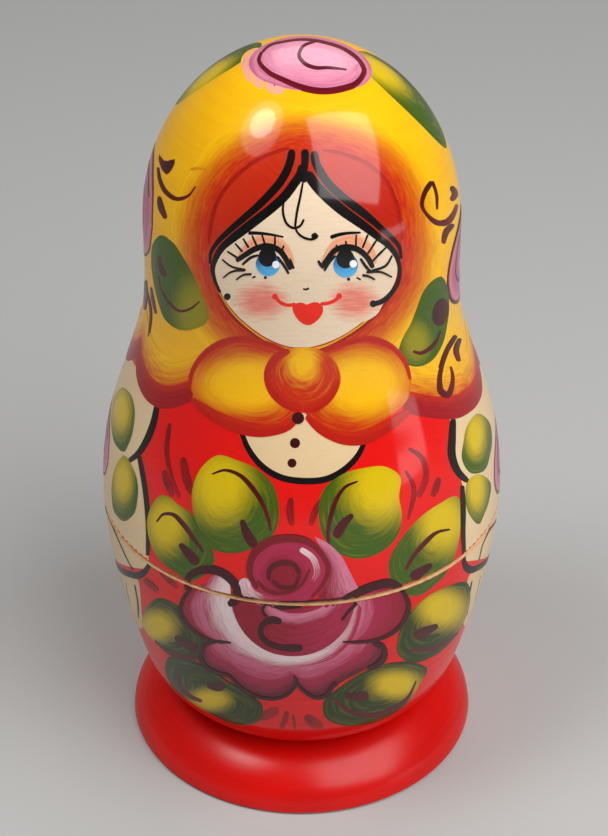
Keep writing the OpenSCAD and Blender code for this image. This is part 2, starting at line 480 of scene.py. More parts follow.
def lay(group, grid, brush, chart, a, b=None, mix=None, streak=0.0,
        loop=False, disc=False, dolls=ALL_DOLLS):
    """Adds a coat: a grid of chart points with its brush coordinates in millimetres.
    It runs from colour a, where mix is 0, to colour b, where mix is 1. A loop's last row is
    its first one, and a disc is a loop that is also filled at its first column."""
    grid, brush, points = refined(grid, brush, chart)
    n, m = grid.shape[:2]
    u, v = np.meshgrid(np.linspace(0, 1, n), np.linspace(0, 1, m), indexing="ij")
    field = SimpleNamespace(u=u, v=v, x=grid[..., 0], y=grid[..., 1])
    border = np.zeros((n, m), bool)
    border[:, -1] = True
    border[:, 0] = not disc
    border[[0, -1]] |= not (loop or disc)
    low, high = points.min((0, 1)), points.max((0, 1))
    under = [c.level for c in COATS if (c.low < high).all() and (c.high > low).all()]
    flat = points.reshape(-1, 3)
    COATS.append(SimpleNamespace(
        group=group, border=border, brush=brush, loop=loop or disc, disc=disc, dolls=dolls,
        low=low, high=high,
        share=shares_of(flat, OUTER).reshape(n, m), level=1 + max(under, default=-1),
        azimuth=np.arctan2(flat[:, 0], -flat[:, 1]).reshape(n, m),
        a=linear(a), b=linear(a if b is None else b), streak=streak,
        mix=np.zeros((n, m)) if mix is None else np.broadcast_to(mix(field), (n, m)),
    ))


def across(width):
    """Even places across a coat, with a place close inside each edge."""
    edge = min(STROKE_EDGE, EDGE_PX / max(width, 1e-6))
    inner = np.linspace(edge, 1 - edge, max(2, math.ceil(width / PATCH_GAP) + 1))
    return np.concatenate([[0], inner, [1]])


def brush_widths(stations, far):
    """Width along a stroke through evenly spaced stations, with round ends; far is the way
    along it."""
    smooth = np.array(list(enumerate(stations)), float)
    if len(stations) > 2:
        smooth = hermite(smooth, WIDTH_STEPS)
    wide = np.interp(np.linspace(0, len(stations) - 1, len(far)), smooth[:, 0], smooth[:, 1])
    end = np.minimum(far, far[-1] - far) / np.maximum(wide / 2, 1e-6)
    return np.maximum(wide * np.sqrt(1 - (1 - np.clip(end, 0, 1)) ** 2), THINNEST)


def stroke(group, points, widths, a, b=None, mix=None, streak=0.0, chart=PHOTO, **more):
    """A brush stroke along points, with its widths at even steps along it."""
    path = open_curve(points, STROKE_GAP)
    far = lengths(path)
    ends = END_PLACES * min(widths[0] + END_ROOM, STROKE_GAP)
    far = np.unique(np.concatenate([ends, far[2:-2], far[-1] - ends]))
    path = np.column_stack([np.interp(far, lengths(path), path[:, k]) for k in (0, 1)])
    wide = brush_widths(widths, far)
    way = np.gradient(path, far, axis=0)
    way /= np.maximum(np.linalg.norm(way, axis=1), 1e-9)[:, None]
    side = np.column_stack([-way[:, 1], way[:, 0]])
    v = across(wide.max())
    grid = path[:, None] + side[:, None] * ((v - 0.5)[None, :] * wide[:, None])[..., None]
    brush = np.stack(np.meshgrid(far, v * wide.max(), indexing="ij"), -1) * PX_MM
    lay(group, grid, brush, chart, a, b, mix, streak, **more)


def between(group, first, last, a, b=None, mix=None, streak=0.0, chart=PHOTO,
            far=None, unit=PX_MM, **more):
    """A coat between two lines that have a point for each other. Far is the way along them in
    millimetres, and unit the millimetres that one step on the chart is worth."""
    wide = np.linalg.norm(last - first, axis=1).max() * unit
    v = across(wide / PX_MM)
    grid = first[:, None] + (last - first)[:, None] * v[None, :, None]
    far = lengths(last) * unit if far is None else far
    brush = np.stack(np.meshgrid(far, v * wide, indexing="ij"), -1)
    lay(group, grid, brush, chart, a, b, mix, streak, **more)


def band(group, edge_a, edge_b, *paint, **more):
    """A coat between two open edges that run the same way."""
    n = max(len(open_curve(edge_a, PATCH_GAP)), len(open_curve(edge_b, PATCH_GAP)))
    between(group, open_curve(edge_a, PATCH_GAP, n), open_curve(edge_b, PATCH_GAP, n), *paint, **more)


def patch(group, outline, a, b=None, mix=None, streak=0.0, chart=PHOTO, middle=None, grain=None,
          gap=PATCH_GAP, **more):
    """A filled loop. Its brush runs round it, or straight at an angle of grain degrees."""
    loop = closed_curve(outline, gap)
    middle = np.mean(loop[:-1], axis=0) if middle is None else np.asarray(middle, float)
    reach = np.linalg.norm(loop - middle, axis=1).mean()
    rings = max(2, math.ceil(reach / gap))
    edge = min(PATCH_EDGE, EDGE_PX / reach)
    v = np.concatenate([np.linspace(PATCH_CORE, 1 - edge, rings), [1]])
    grid = middle + (loop - middle)[:, None] * v[None, :, None]
    if grain is None:
        u = np.linspace(0, length(loop) / 2, len(loop))
        brush = np.stack(np.meshgrid(u, v * reach, indexing="ij"), -1) * PX_MM
    else:
        c, s = math.cos(math.radians(grain)), math.sin(math.radians(grain))
        brush = (grid - middle) @ np.array([[c, -s], [s, c]]) * PX_MM
    lay(group, grid, brush, chart, a, b, mix, streak, disc=True, **more)


def ellipse(x, y, rx, ry, lean=0.0):
    """Loop of points on an ellipse."""
    t = np.radians(np.arange(0, 360, ELLIPSE_STEP))
    c, s = math.cos(math.radians(lean)), math.sin(math.radians(lean))
    ex, ey = rx * np.cos(t), ry * np.sin(t)
    return np.column_stack([x + c * ex - s * ey, y + s * ex + c * ey])


def dot(group, x, y, r, a, **more):
    patch(group, ellipse(x, y, r, r), a, gap=min(PATCH_GAP, r / 2), **more)


# Mixes: how far a coat has gone from its first colour to its second

def steady(share):
    return lambda g: share


def along(share):
    """Mix that rises evenly along a stroke."""
    return lambda g: share * g.u


def outward_to(share):
    """Mix that rises evenly across a coat, or from the middle of a patch."""
    return lambda g: share * g.v


def to_edge(low, high, share=1.0):
    """Mix that rises across a coat between two places on the way."""
    return lambda g: share * eased(g.v, low, high)


def from_edge(low, high):
    """Mix that rises the other way across a coat."""
    return lambda g: eased(1 - g.v, low, high)


def to_sides(low, high, share=1.0):
    """Mix that rises from the middle line of a stroke to both its sides."""
    return lambda g: share * eased(np.abs(g.v - 0.5), low, high)


def downward(low, high, share=1.0):
    """Mix that rises down the chart."""
    return lambda g: share * eased(g.y, low, high)


def off_centre(x, y, rx, ry, low=0.0, high=1.0):
    """Mix that rises from 0 about a place on the chart to 1 away from it."""
    return lambda g: eased(np.hypot((g.x - x) / rx, (g.y - y) / ry), low, high)


# The dress and the scarf's hem, all the way round; places in degrees and millimetres

HEM_RIGHT = [
    (34, 70.6), (41, 69.0), (49, 67.2), (56, 65.8), (64, 64.9), (72, 64.4), (80, 64.6), (88, 66.4),
]
HEM_LEFT = [(285, 71.0), (290, 69.4), (296, 68.4), (303, 68.0), (309, 68.4), (315, 69.6), (322, 71.6)]
HEM_CUSPS = [(88, 66.4), (122, 66.6), (156, 67.0), (190, 67.4), (222, 68.2), (254, 69.4), (285, 71.0)]
HEM_DEPTH = 3.0
HEM_STEP = 1.2
HEM_FADE = 7.5
HEM_BAND = 3.2
HEM_LAP = 0.3
SCALLOP_PARTS = 24
CHEST_Z = 72.0
CHEST_ENDS = (-40, 36)
CHEST_PARTS = 64
RING_PARTS = 161
DRESS_LAP = 0.6


def hem_line():
    """The scarf's lower edge, from the right of the bow round the back to its left."""
    line = [open_curve(HEM_RIGHT, HEM_STEP)]
    t = np.linspace(0, 1, SCALLOP_PARTS)
    for (a, low), (b, high) in zip(HEM_CUSPS, HEM_CUSPS[1:]):
        drop = HEM_DEPTH * np.sin(math.pi * t)
        line.append(np.column_stack([a + (b - a) * t, low + (high - low) * t - drop])[1:])
    line.append(open_curve(HEM_LEFT, HEM_STEP)[1:])
    return np.vstack(line)


def around(group, low, high, *paint, **more):
    """A coat round the doll between two lines that have a point for each other."""
    far = np.radians(low[:, 0]) * radius_at(low[:, 1])
    between(group, low, high, *paint, chart=wrapped, far=far, unit=1.0, **more)


def level(line, z):
    return np.column_stack([line[:, 0], np.full(len(line), z)])


def paint_dress():
    hem = hem_line()
    around("dress", level(hem, SEAM_Z), hem + [0, DRESS_LAP], DRESS, DRESS_DEEP, None, 0.25)
    chest = np.column_stack([np.linspace(*CHEST_ENDS, CHEST_PARTS), np.full(CHEST_PARTS, CHEST_Z)])
    around("dress", level(chest, SEAM_Z), chest, DRESS, DRESS_DEEP, None, 0.25)
    turn = np.linspace(-180, 180, RING_PARTS)
    ring = np.column_stack([turn, np.full(RING_PARTS, SEAM_Z + DRESS_LAP)])
    around("dress", level(ring, GROOVE_Z + DRESS_LAP), ring, DRESS, DRESS_DEEP, None, 0.25,
           loop=True, dolls=[SMALLEST])


def paint_hem():
    hem = hem_line()
    around("scarf", hem, hem + [0, HEM_FADE], SCARF_RED, SCARF, to_edge(0.2, 1.0), 0.3)
    around("scarf", hem - [0, HEM_LAP], hem + [0, HEM_BAND], CRIMSON, SCARF_RED, to_edge(0.45, 1.0), 0.35)


# The face

OVAL = [(304, 147), (322, 150), (346, 155), (370, 166), (386, 181), (395, 200), (400, 222), (402, 244),
        (400, 264), (397, 279), (391, 292), (378, 309), (360, 326), (340, 339), (321, 347), (305, 350),
        (289, 349), (269, 342), (249, 329), (232, 313), (221, 296), (214, 278), (210, 262), (209, 244),
        (211, 226), (215, 208), (224, 191), (239, 174), (256, 161), (276, 152), (290, 148)]
OVAL_MIDDLE = (305, 252)
RING_WIDTH = 42
RING_LAP = 4
SKIN_EDGE = [
    (304, 180), (298, 184), (285, 197), (272, 210), (258, 221), (245, 231), (232, 241), (222, 250),
    (216, 259), (214, 270), (217, 283), (222, 295), (233, 311), (250, 327), (270, 340), (290, 347),
    (305, 348), (320, 345), (340, 337), (360, 324), (378, 307), (391, 290), (397, 275), (397, 262),
    (393, 253), (387, 246), (377, 238), (367, 230), (356, 222), (342, 212), (330, 202), (318, 191),
    (310, 184),
]
RIM_LEFT = [
    (209, 244), (211, 227), (215, 209), (224, 191), (239, 174), (256, 161), (276, 152), (290, 148),
]
RIM_RIGHT = [(322, 150), (346, 155), (370, 166), (386, 181), (395, 200), (400, 222), (402, 240)]
CHIN_EDGE = [
    (219, 292), (233, 313), (250, 329), (270, 342), (290, 349), (305, 350), (321, 347), (341, 338),
    (361, 325), (379, 308), (392, 290),
]
RIM_WIDTHS = [2, 5, 5, 5, 2]
CHIN_SHADE_WIDTHS = [2, 8, 7, 1, 7, 8, 2]
CHIN_LINE_WIDTHS = [1, 2, 2, 4, 2, 2, 1]
HAIR_LINES = [
    (
        [
            (292, 149), (291, 158), (288, 168), (281, 181), (270, 194), (257, 207), (243, 219),
            (228, 232), (217, 243), (211, 253), (210, 264),
        ],
        [5, 9, 9, 8, 7, 5, 2],
    ),
    (
        [
            (303, 164), (300, 175), (294, 184), (285, 196), (272, 208), (258, 219), (245, 229),
            (232, 239), (222, 248), (216, 258), (213, 268), (215, 280), (221, 293),
        ],
        [5, 10, 10, 10, 8, 5, 2],
    ),
    (
        [
            (306, 172), (318, 188), (330, 200), (343, 211), (357, 221), (368, 229), (378, 237),
            (388, 245), (395, 254), (399, 266), (398, 281), (391, 293), (382, 301), (373, 304),
        ],
        [5, 11, 11, 10, 8, 6, 4, 5, 6],
    ),
    (
        [
            (314, 151), (316, 163), (321, 173), (328, 183), (338, 193), (350, 203), (362, 212),
            (373, 221), (383, 230), (392, 238), (399, 247), (401, 259),
        ],
        [5, 9, 9, 9, 7, 5, 2],
    ),
    ([(305, 149), (305, 160), (304, 172), (304, 183)], [9, 8, 7, 4]),
]
IRISES = [(268, 264), (345.5, 265)]
IRIS_R = 12.6
IRIS_GAP, PUPIL_GAP = 2, 3
PUPILS = [(267.5, 257), (345, 258.5)]
PUPIL_RX, PUPIL_RY = 9.4, 10.2
GLINTS = [(276, 264.5), (353, 263.5)]
GLINT_R = 4.2
LIDS = [
    [(236, 261), (245, 255), (255, 249), (267, 246), (279, 250), (287, 261), (291, 270)],
    [(321, 268), (328, 258), (335, 250), (345, 247), (357, 249), (367, 257), (373, 268)],
]
LID_WIDTHS = [4, 6, 6.5, 7, 6.5, 6, 3.5]
UNDER_LIDS = [
    [(242, 265), (252, 257), (259, 255)], [(277, 256), (285, 267), (289, 274)],
    [(324, 271), (330, 261), (336, 255)], [(360, 258), (367, 268), (371, 272)],
    [(318, 260), (322, 266), (328, 263)],
]
UNDER_LID_WIDTHS = [2, 3.6, 2.4]
LID_SHADE_WIDTHS = [3, 11, 14, 14, 12, 4]
LID_SHADES = [
    [(239, 260), (247, 250), (257, 243), (268, 241), (279, 245), (287, 255), (291, 268)],
    [(323, 266), (330, 254), (338, 245), (348, 241), (360, 243), (369, 252), (374, 264)],
]
BROWS = [
    [(248, 233), (257, 233), (271, 234.5), (284, 237)],
    [(330, 237.5), (339, 234.5), (349, 233), (361, 232.5)],
]
BROW_WIDTHS = [5, 4, 3, 1.5]
LASHES = [
    [(227, 251), (238, 258)], [(235, 243), (243, 252)], [(243, 238), (249, 248)],
    [(252, 235), (257, 246)], [(262, 234), (265, 244)], [(275, 236), (275, 245)],
    [(284, 245), (282, 251)], [(290, 258), (294, 269)], [(222, 259), (231, 266), (246, 270)],
    [(223, 278), (231, 272), (246, 270)], [(236, 280), (243, 275), (252, 274)],
    [(252, 278), (256, 276)], [(336, 244), (337, 250)], [(345.5, 240), (346, 246)],
    [(356, 234), (355.5, 246)], [(368, 234), (362, 248)], [(377, 239), (367, 254)],
    [(386, 247), (371, 262)], [(392, 255), (386, 265), (371, 271)],
    [(392, 277), (381, 272), (366, 272)], [(375, 279.5), (368, 276), (362, 275)],
    [(356, 277), (361, 280)],
]
LASH_WIDTHS = [1.4, 2.6, 3.2]
FACE_DOTS = [
    (265.5, 277.5, 1.8), (348.5, 279, 1.8), (227.5, 296.5, 3.8), (373, 303.5, 3.8), (314.5, 236, 3.4),
]
CURLS = [
    [(303, 182), (300, 198), (297, 212), (295, 227)],
    [(285, 198), (283, 207), (284, 217), (288, 225), (294, 228), (300, 226), (304, 219)],
    [(295, 227), (298, 233), (305, 238), (313, 239), (317.5, 236), (314, 233)],
    [(302.5, 288.5), (306, 289.3), (309.5, 287.8)],
]
CURL_WIDTHS = [2, 2.8, 3, 2.6]
HAIR_SHADE = (330, 260, 110, 105)
SKIN_MIDDLE = (305, 275)
IRIS_SHADE = (-6, 9)
LIPS_SHADE = (300, 326)
CHEEKS = [(262, 301, 31, 22), (354, 301, 29, 22)]
SMILES = [
    [(275, 296), (280, 302), (288, 305), (296, 304)],
    [(320, 304), (328, 303), (335, 300), (339.5, 295.5)],
]
SMILE_WIDTHS = [4.5, 4.5, 4.5]
SMILE_ENDS = [(275, 296.5), (339, 296)]
SMILE_END_R = 3.5
LIPS_EDGE = [
    (292, 305), (296, 303), (301, 302), (304.5, 303), (307, 304.5), (310, 303), (315, 301.5),
    (321, 303.5), (323.5, 307), (322, 315), (317, 321), (309, 325.5), (303, 324), (297, 319),
    (293, 312),
]


def paint_ring():
    """Soft orange-red on the scarf round the face."""
    inner = closed_curve(OVAL, PATCH_GAP)
    away = inner - OVAL_MIDDLE
    away /= np.linalg.norm(away, axis=1)[:, None]
    between("scarf", inner - RING_LAP * away, inner + RING_WIDTH * away, SCARF_RED, SCARF,
            to_edge(0.12, 0.95), 0.12, loop=True)


def paint_hair():
    # Hair lighter away from its right middle, most at the upper left: painted light where the highlight
    # falls
    patch("face", OVAL, HAIR, HAIR_PAINTED_LIGHT, off_centre(*HAIR_SHADE, 0.6, 1.3), 0.12,
          middle=OVAL_MIDDLE, grain=40)
    for rim in (RIM_LEFT, RIM_RIGHT):
        stroke("face", rim, RIM_WIDTHS, HAIR_RIM, HAIR, outward_to(1.0), 0.2)
    stroke("face", CHIN_EDGE, CHIN_SHADE_WIDTHS, DEEP_RED, SCARF_RED, from_edge(0.3, 1), 0.2)
    patch("face", SKIN_EDGE, SKIN, SKIN_WARM, None, 0.3, middle=SKIN_MIDDLE, grain=0)
    stroke("face", CHIN_EDGE, CHIN_LINE_WIDTHS, SCARF, SCARF_RED, steady(0.3), 0.3)
    for x, y, rx, ry in CHEEKS:
        patch("face", ellipse(x, y, rx, ry), BLUSH, SKIN, to_edge(0.2, 1), 0.3, grain=0)
    for line, widths in HAIR_LINES:
        stroke("face", line, widths, BLACK)


def paint_eyes():
    for shade in LID_SHADES:
        stroke("face", shade, LID_SHADE_WIDTHS, LID, SKIN, to_sides(0.25, 0.5), 0.3)
    for x, y in IRISES:
        low, high = (y + step for step in IRIS_SHADE)
        patch("face", ellipse(x, y, IRIS_R, IRIS_R), IRIS, IRIS_LIGHT, downward(low, high), 0.2,
              gap=IRIS_GAP)
    for x, y in PUPILS:
        patch("face", ellipse(x, y, PUPIL_RX, PUPIL_RY), BLACK, gap=PUPIL_GAP)
    for x, y in GLINTS:
        dot("face", x, y, GLINT_R, WHITE)
    for lid in LIDS:
        stroke("face", lid, LID_WIDTHS, BLACK)
    for line in UNDER_LIDS:
        stroke("face", line, UNDER_LID_WIDTHS, BLACK)
    for brow in BROWS:
        stroke("face", brow, BROW_WIDTHS, BLACK)
    for lash in LASHES:
        stroke("face", lash, LASH_WIDTHS, BLACK)


def paint_face():
    paint_hair()
    paint_eyes()
    for curl in CURLS:
        stroke("face", curl, CURL_WIDTHS, BLACK)
    for x, y, r in FACE_DOTS:
        dot("face", x, y, r, BLACK)
    for smile in SMILES:
        stroke("face", smile, SMILE_WIDTHS, LIPS)
    for x, y in SMILE_ENDS:
        dot("face", x, y, SMILE_END_R, LIPS)
    patch("face", LIPS_EDGE, LIPS, LIPS_DEEP, downward(*LIPS_SHADE, 0.4), 0.25, grain=0)


# The scarf's bow and the blouse

LOBE_LEFT = [
    (290, 352), (265, 342), (240, 338), (215, 345), (200, 358), (192, 372), (190, 386), (195, 398),
    (210, 410), (235, 422), (262, 427), (285, 422), (298, 410), (302, 380),
]
LOBE_RIGHT = [
    (316, 354), (345, 342), (370, 338), (390, 345), (404, 360), (411, 380), (407, 400), (389, 417),
    (366, 430), (345, 435), (325, 430), (308, 418), (302, 400), (304, 376),
]
LOBE_LEFT_LIGHT = (248, 384, 34, 19)
LOBE_RIGHT_LIGHT = (362, 384, 30, 22)
LOBE_LEFT_TOP = [(294, 354), (265, 343), (240, 339), (215, 346), (200, 359), (192, 374), (190, 390)]
LOBE_RIGHT_TOP = [(312, 356), (345, 343), (370, 339), (390, 346), (404, 361), (410, 380)]
LOBE_LEFT_HEM = [(193, 399), (205, 409), (220, 418), (245, 428), (270, 430), (290, 424), (299, 414)]
LOBE_RIGHT_HEM = [(306, 416), (325, 431), (345, 438), (365, 437), (386, 427), (409, 411)]
LOBE_TOP_WIDTHS = [2, 6, 7, 6, 3]
LOBE_HEM_WIDTHS = [4, 12, 15, 12, 4]
KNOT = [(303, 347), (322, 350), (336, 362), (341, 380), (334, 398), (319, 410), (301, 413), (284, 405),
        (271, 391), (267, 375), (273, 359), (287, 349)]
KNOT_LIGHT = (303, 361, 13, 16)
KNOT_LEFT = [(290, 350), (276, 358), (270, 374), (274, 390), (287, 403), (303, 409)]
KNOT_RIGHT = [(303, 409), (318, 405), (331, 394), (337, 379)]
KNOT_LEFT_WIDTHS = [4, 10, 13, 12, 7]
KNOT_RIGHT_WIDTHS = [6, 11, 9, 3]
BLOUSE_TOP = [(236, 424), (258, 424), (280, 420), (300, 412), (320, 420), (345, 430), (368, 434)]
BLOUSE_LOW = [
    (241, 430), (248, 448), (262, 466), (280, 477), (304, 481), (326, 479), (346, 468), (358, 455),
    (366, 438),
]
BLOUSE_WIDTHS = [5, 7, 7.5, 7, 5]
BUTTONS = [(298, 418, 6.4), (295, 443, 5.6), (292, 463, 5)]


def lobe(outline, light):
    """A lobe of the bow: yellow about a place in it, red at its edge."""
    patch("bow", outline, SCARF, SCARF_RED, off_centre(*light, 0.7, 2.1), 0.25, middle=light[:2])


def paint_bow():
    lobe(LOBE_LEFT, LOBE_LEFT_LIGHT)
    lobe(LOBE_RIGHT, LOBE_RIGHT_LIGHT)
    for line in (LOBE_LEFT_TOP, LOBE_RIGHT_TOP):
        stroke("bow", line, LOBE_TOP_WIDTHS, BOW_RED, SCARF_RED, to_sides(0.0, 0.45), 0.4)
    for line in (LOBE_LEFT_HEM, LOBE_RIGHT_HEM):
        stroke("bow", line, LOBE_HEM_WIDTHS, BOW_RED, SCARF_RED, from_edge(0.3, 1.0), 0.4)
    patch("bow", KNOT, SCARF, SCARF_RED, off_centre(*KNOT_LIGHT, 0.4, 1.9), 0.4, middle=KNOT_LIGHT[:2])
    stroke("bow", KNOT_LEFT, KNOT_LEFT_WIDTHS, BOW_RED, SCARF_RED, from_edge(0.2, 1), 0.4)
    stroke("bow", KNOT_RIGHT, KNOT_RIGHT_WIDTHS, BOW_RED, SCARF_RED, from_edge(0.2, 1), 0.4)


def paint_blouse():
    band("blouse", BLOUSE_TOP, BLOUSE_LOW, CREAM, CREAM_LOW, outward_to(0.4), 0.3)
    stroke("blouse", BLOUSE_LOW, BLOUSE_WIDTHS, BLACK)


def paint_buttons():
    for x, y, r in BUTTONS:
        dot("blouse", x, y, r, MAROON)


# Leaves and roses

VEIN_WIDTHS = np.array([1.5, 4, 6, 5, 2])
LEAF_DAB_WIDTHS = np.array([2.5, 8, 11, 8])
SPIRAL_POINTS = 15
SPIRAL_START = 30
SPIRAL_TURNS = 1.5
SPIRAL_OUT, SPIRAL_WIND = 0.9, 0.76
SPIRAL_ROOM = 0.9
SPIRAL_WIDTHS = [2, 6, 6, 5, 4, 4, 2]
ROSE_RIM_WIDTHS = [4, 5, 6, 5, 4, 3, 4]
ROSE_WAVES = 9


def leaf(group, outline, core, vein=None, dab=None, chart=PHOTO,
         light=LEAF_YELLOW, dark=LEAF_GREEN, bold=1.0):
    """A leaf, light at its core, with a maroon vein and a maroon dab."""
    patch(group, outline, light, dark, off_centre(*core, 0.25, 1.2), 0.2, chart, middle=core[:2])
    if vein is not None:
        stroke(group, vein, bold * VEIN_WIDTHS, MAROON, MAROON_RED, along(0.6), 0.3, chart)
    if dab:
        stroke(group, dab, bold * LEAF_DAB_WIDTHS, MAROON, MAROON_RED, along(0.3), 0.3, chart)


def spiral(x, y, rx, ry):
    """Points of a spiral that winds in to a place."""
    t = np.linspace(0, 1, SPIRAL_POINTS)
    turn = np.radians(SPIRAL_START + 360 * SPIRAL_TURNS * t)
    shrink = SPIRAL_OUT - SPIRAL_WIND * t
    return np.column_stack([x + rx * shrink * np.cos(turn), y + ry * shrink * np.sin(turn)])


def small_rose(group, x, y, rx, ry, chart):
    """A round rose with a maroon rim and spiral."""
    rim = ellipse(x, y, rx, ry)
    coil = spiral(x, y, SPIRAL_ROOM * rx, SPIRAL_ROOM * ry)
    patch(group, rim, MAUVE, PALE_PINK, lambda g: eased(np.sin(ROSE_WAVES * g.v), 0.0, 1.0), 0.5, chart)
    stroke(group, [*rim, rim[0]], ROSE_RIM_WIDTHS, MAROON, MAROON_RED, outward_to(1.0), 0.3, chart)
    stroke(group, coil, SPIRAL_WIDTHS, MAROON, MAROON_RED, along(0.6), 0.3, chart)


DRESS_LEAVES = [
    (
        [
            (218, 455), (237, 460), (254, 467), (272, 483), (279, 507), (277, 528), (267, 541),
            (254, 548), (237, 553), (215, 550), (200, 531), (193, 510), (193, 487), (202, 467),
        ],
        (220, 484, 40, 48),
        [(212, 474), (225, 470), (240, 475), (252, 487), (262, 502), (268, 517), (271, 531)],
        [(242, 519), (247, 533), (256, 547)],
    ),
    (
        [
            (387, 467), (400, 476), (399, 497), (402, 517), (397, 537), (380, 553), (357, 559),
            (337, 553), (323, 537), (318, 513), (323, 490), (340, 475), (363, 468),
        ],
        (380, 486, 44, 46),
        [(358, 481), (345, 487), (336, 500), (331, 515), (328, 532), (329, 549)],
        [(353, 514), (343, 524), (335, 538)],
    ),
    (
        [
            (160, 495), (170, 497), (178, 504), (190, 512), (202, 530), (212, 547), (215, 560),
            (207, 573), (190, 581), (177, 573), (160, 560), (150, 540), (148, 517), (154, 502),
        ],
        (166, 524, 26, 36),
        [(157, 522), (164, 514), (173, 514), (183, 523), (194, 538), (204, 552)],
        [(180, 543), (189, 553), (199, 564)],
    ),
    (
        [
            (457, 496), (460, 517), (458, 543), (450, 567), (437, 583), (417, 596), (400, 592),
            (390, 579), (389, 560), (400, 540), (417, 520), (437, 505),
        ],
        (442, 522, 32, 40),
        [(450, 529), (437, 532), (424, 543), (413, 556), (405, 570)],
        [(432, 564), (421, 571), (410, 578)],
    ),
    (
        [
            (157, 598), (147, 607), (142, 620), (153, 640), (170, 653), (190, 662), (203, 657),
            (205, 640), (193, 623), (180, 608), (168, 600),
        ],
        (156, 626, 26, 20),
        [(155, 640), (170, 652), (185, 657), (200, 656)],
        [(175, 636), (186, 643), (199, 649)],
    ),
    (
        [
            (168, 657), (165, 670), (173, 687), (193, 703), (217, 717), (240, 725), (260, 720),
            (263, 707), (247, 693), (227, 680), (207, 667), (183, 658),
        ],
        (210, 699, 26, 14),
        [(178, 671), (180, 684), (191, 696), (203, 701)],
        [(207, 684), (216, 686), (226, 685)],
    ),
    (
        [
            (468, 583), (470, 600), (463, 623), (450, 643), (430, 658), (410, 663), (397, 653),
            (398, 637), (407, 617), (423, 600), (443, 588),
        ],
        (442, 608, 32, 26),
        [(458, 632), (444, 643), (428, 649), (408, 650)],
        [(438, 625), (427, 630), (414, 637)],
    ),
    (
        [
            (427, 668), (420, 683), (407, 703), (387, 717), (363, 725), (340, 725), (325, 717),
            (323, 703), (340, 687), (367, 670), (397, 662), (417, 663),
        ],
        (396, 684, 32, 18),
        [(416, 680), (408, 696), (390, 709), (365, 715), (345, 708), (333, 697)],
        [(343, 694), (356, 696), (369, 695)],
    ),
]
# Leaves whose core lies below this height get the darker green as painted shade
SHADED_LEAF_Y = 600
DRESS_DABS = [
    ([(170, 423), (167, 450), (171, 475), (180, 498)], [2, 5, 5, 2]),
    ([(164, 470), (167, 482), (173, 496)], [4, 7, 3]),
    ([(183, 457), (186, 475), (192, 495)], [5, 9, 2]),
    ([(291, 497), (290, 511), (292, 526)], [3, 9, 5]),
    ([(329, 495), (318, 506), (310, 526)], [2, 8, 5]),
    ([(408, 448), (421, 457), (426, 475), (418, 498)], [2, 6, 7, 2]),
    ([(405, 470), (413, 485), (408, 520)], [2, 6, 2]),
    ([(439, 477), (436, 487), (432, 497)], [4, 8, 3]),
    ([(144, 579), (151, 585), (158, 591)], [3, 6, 3]),
    ([(160, 571), (168, 579), (178, 588)], [3, 6, 3]),
    ([(258, 718), (269, 714), (279, 709)], [6, 10, 7]),
    ([(287, 711), (285, 720), (281, 729)], [4, 6, 3]),
    ([(293, 714), (294, 722), (295, 730)], [2, 3, 2]),
    ([(305, 716), (313, 722), (323, 728)], [6, 11, 7]),
]


def paint_dress_leaves():
    for dab, widths in DRESS_DABS:
        stroke("leaves", dab, widths, MAROON_RED, DRESS_DEEP, along(0.5), 0.4)
    for outline, core, vein, dab in DRESS_LEAVES:
        # The lowest leaves are painted darker, as painted shade under the belly
        low = core[1] > SHADED_LEAF_Y
        leaf("leaves", outline, core, vein, dab, dark=SHADED_LEAF_GREEN if low else LEAF_GREEN)


PETALS_OUT = [
    (206, 634), (203, 652), (207, 667), (219, 673), (232, 680), (246, 691), (263, 697), (280, 697),
    (293, 688), (298, 682), (305, 691), (317, 697), (330, 690), (338, 684), (360, 672), (377, 662),
    (385, 650), (374, 642),
]
PETALS_IN = [
    (209, 622), (218, 636), (238, 652), (266, 661), (293, 663), (320, 658), (341, 647), (356, 630),
]
LEFT_PETAL_OUT = [(196, 586), (186, 596), (181, 610), (186, 622), (196, 632), (210, 640), (228, 645)]
LEFT_PETAL_IN = [(208, 582), (204, 600), (208, 620), (220, 637), (238, 651)]
RIGHT_PETAL_OUT = [(392, 583), (404, 592), (408, 606), (404, 620), (395, 632), (380, 640), (358, 644)]
RIGHT_PETAL_IN = [(354, 592), (357, 606), (355, 620), (348, 636), (340, 646)]
CUP_RIM_OUT = [
    (224, 570), (211, 577), (204, 590), (204, 607), (210, 626), (223, 643), (243, 656), (268, 665),
    (293, 667), (318, 663), (338, 654), (352, 639), (359, 622), (362, 604),
]
CUP_RIM_IN = [
    (228, 571), (230, 580), (231, 594), (233, 610), (240, 625), (252, 640), (267, 650), (287, 655),
    (307, 654), (326, 647), (340, 635), (349, 622), (354, 608), (355, 596),
]
CUP_BACK = [(236, 592), (252, 600), (272, 606), (292, 608), (312, 606), (328, 602), (343, 597)]
CUP_FRONT = [
    (231, 590), (234, 612), (244, 632), (262, 648), (286, 656), (310, 654), (332, 643), (347, 626),
    (355, 600),
]
CUP_STREAK_WIDTHS = [3, 12, 11, 4]
CUP_STREAK = [(264, 604), (278, 615), (300, 618), (324, 611), (342, 600)]
SHOULDER_OUT = [(314, 536), (328, 543), (342, 557), (350, 572), (359, 588), (366, 596)]
SHOULDER_IN = [(322, 552), (328, 566), (326, 582), (319, 594), (318, 601), (326, 603)]
BUD = [
    (248, 577), (250, 559), (262, 543), (284, 534), (305, 537), (320, 549), (328, 565), (327, 582),
    (318, 595), (300, 602), (276, 603), (256, 596),
]
BUD_SHADE = (284, 574, 22, 20)
CUP_SHADE = (255, 335)
BUD_RIM_WIDTHS = [2, 7, 9, 8, 6, 5, 3]
BUD_RIM = [
    (258, 588), (250, 572), (253, 556), (266, 543), (287, 538), (307, 541), (322, 554), (328, 568),
    (323, 583), (311, 597),
]
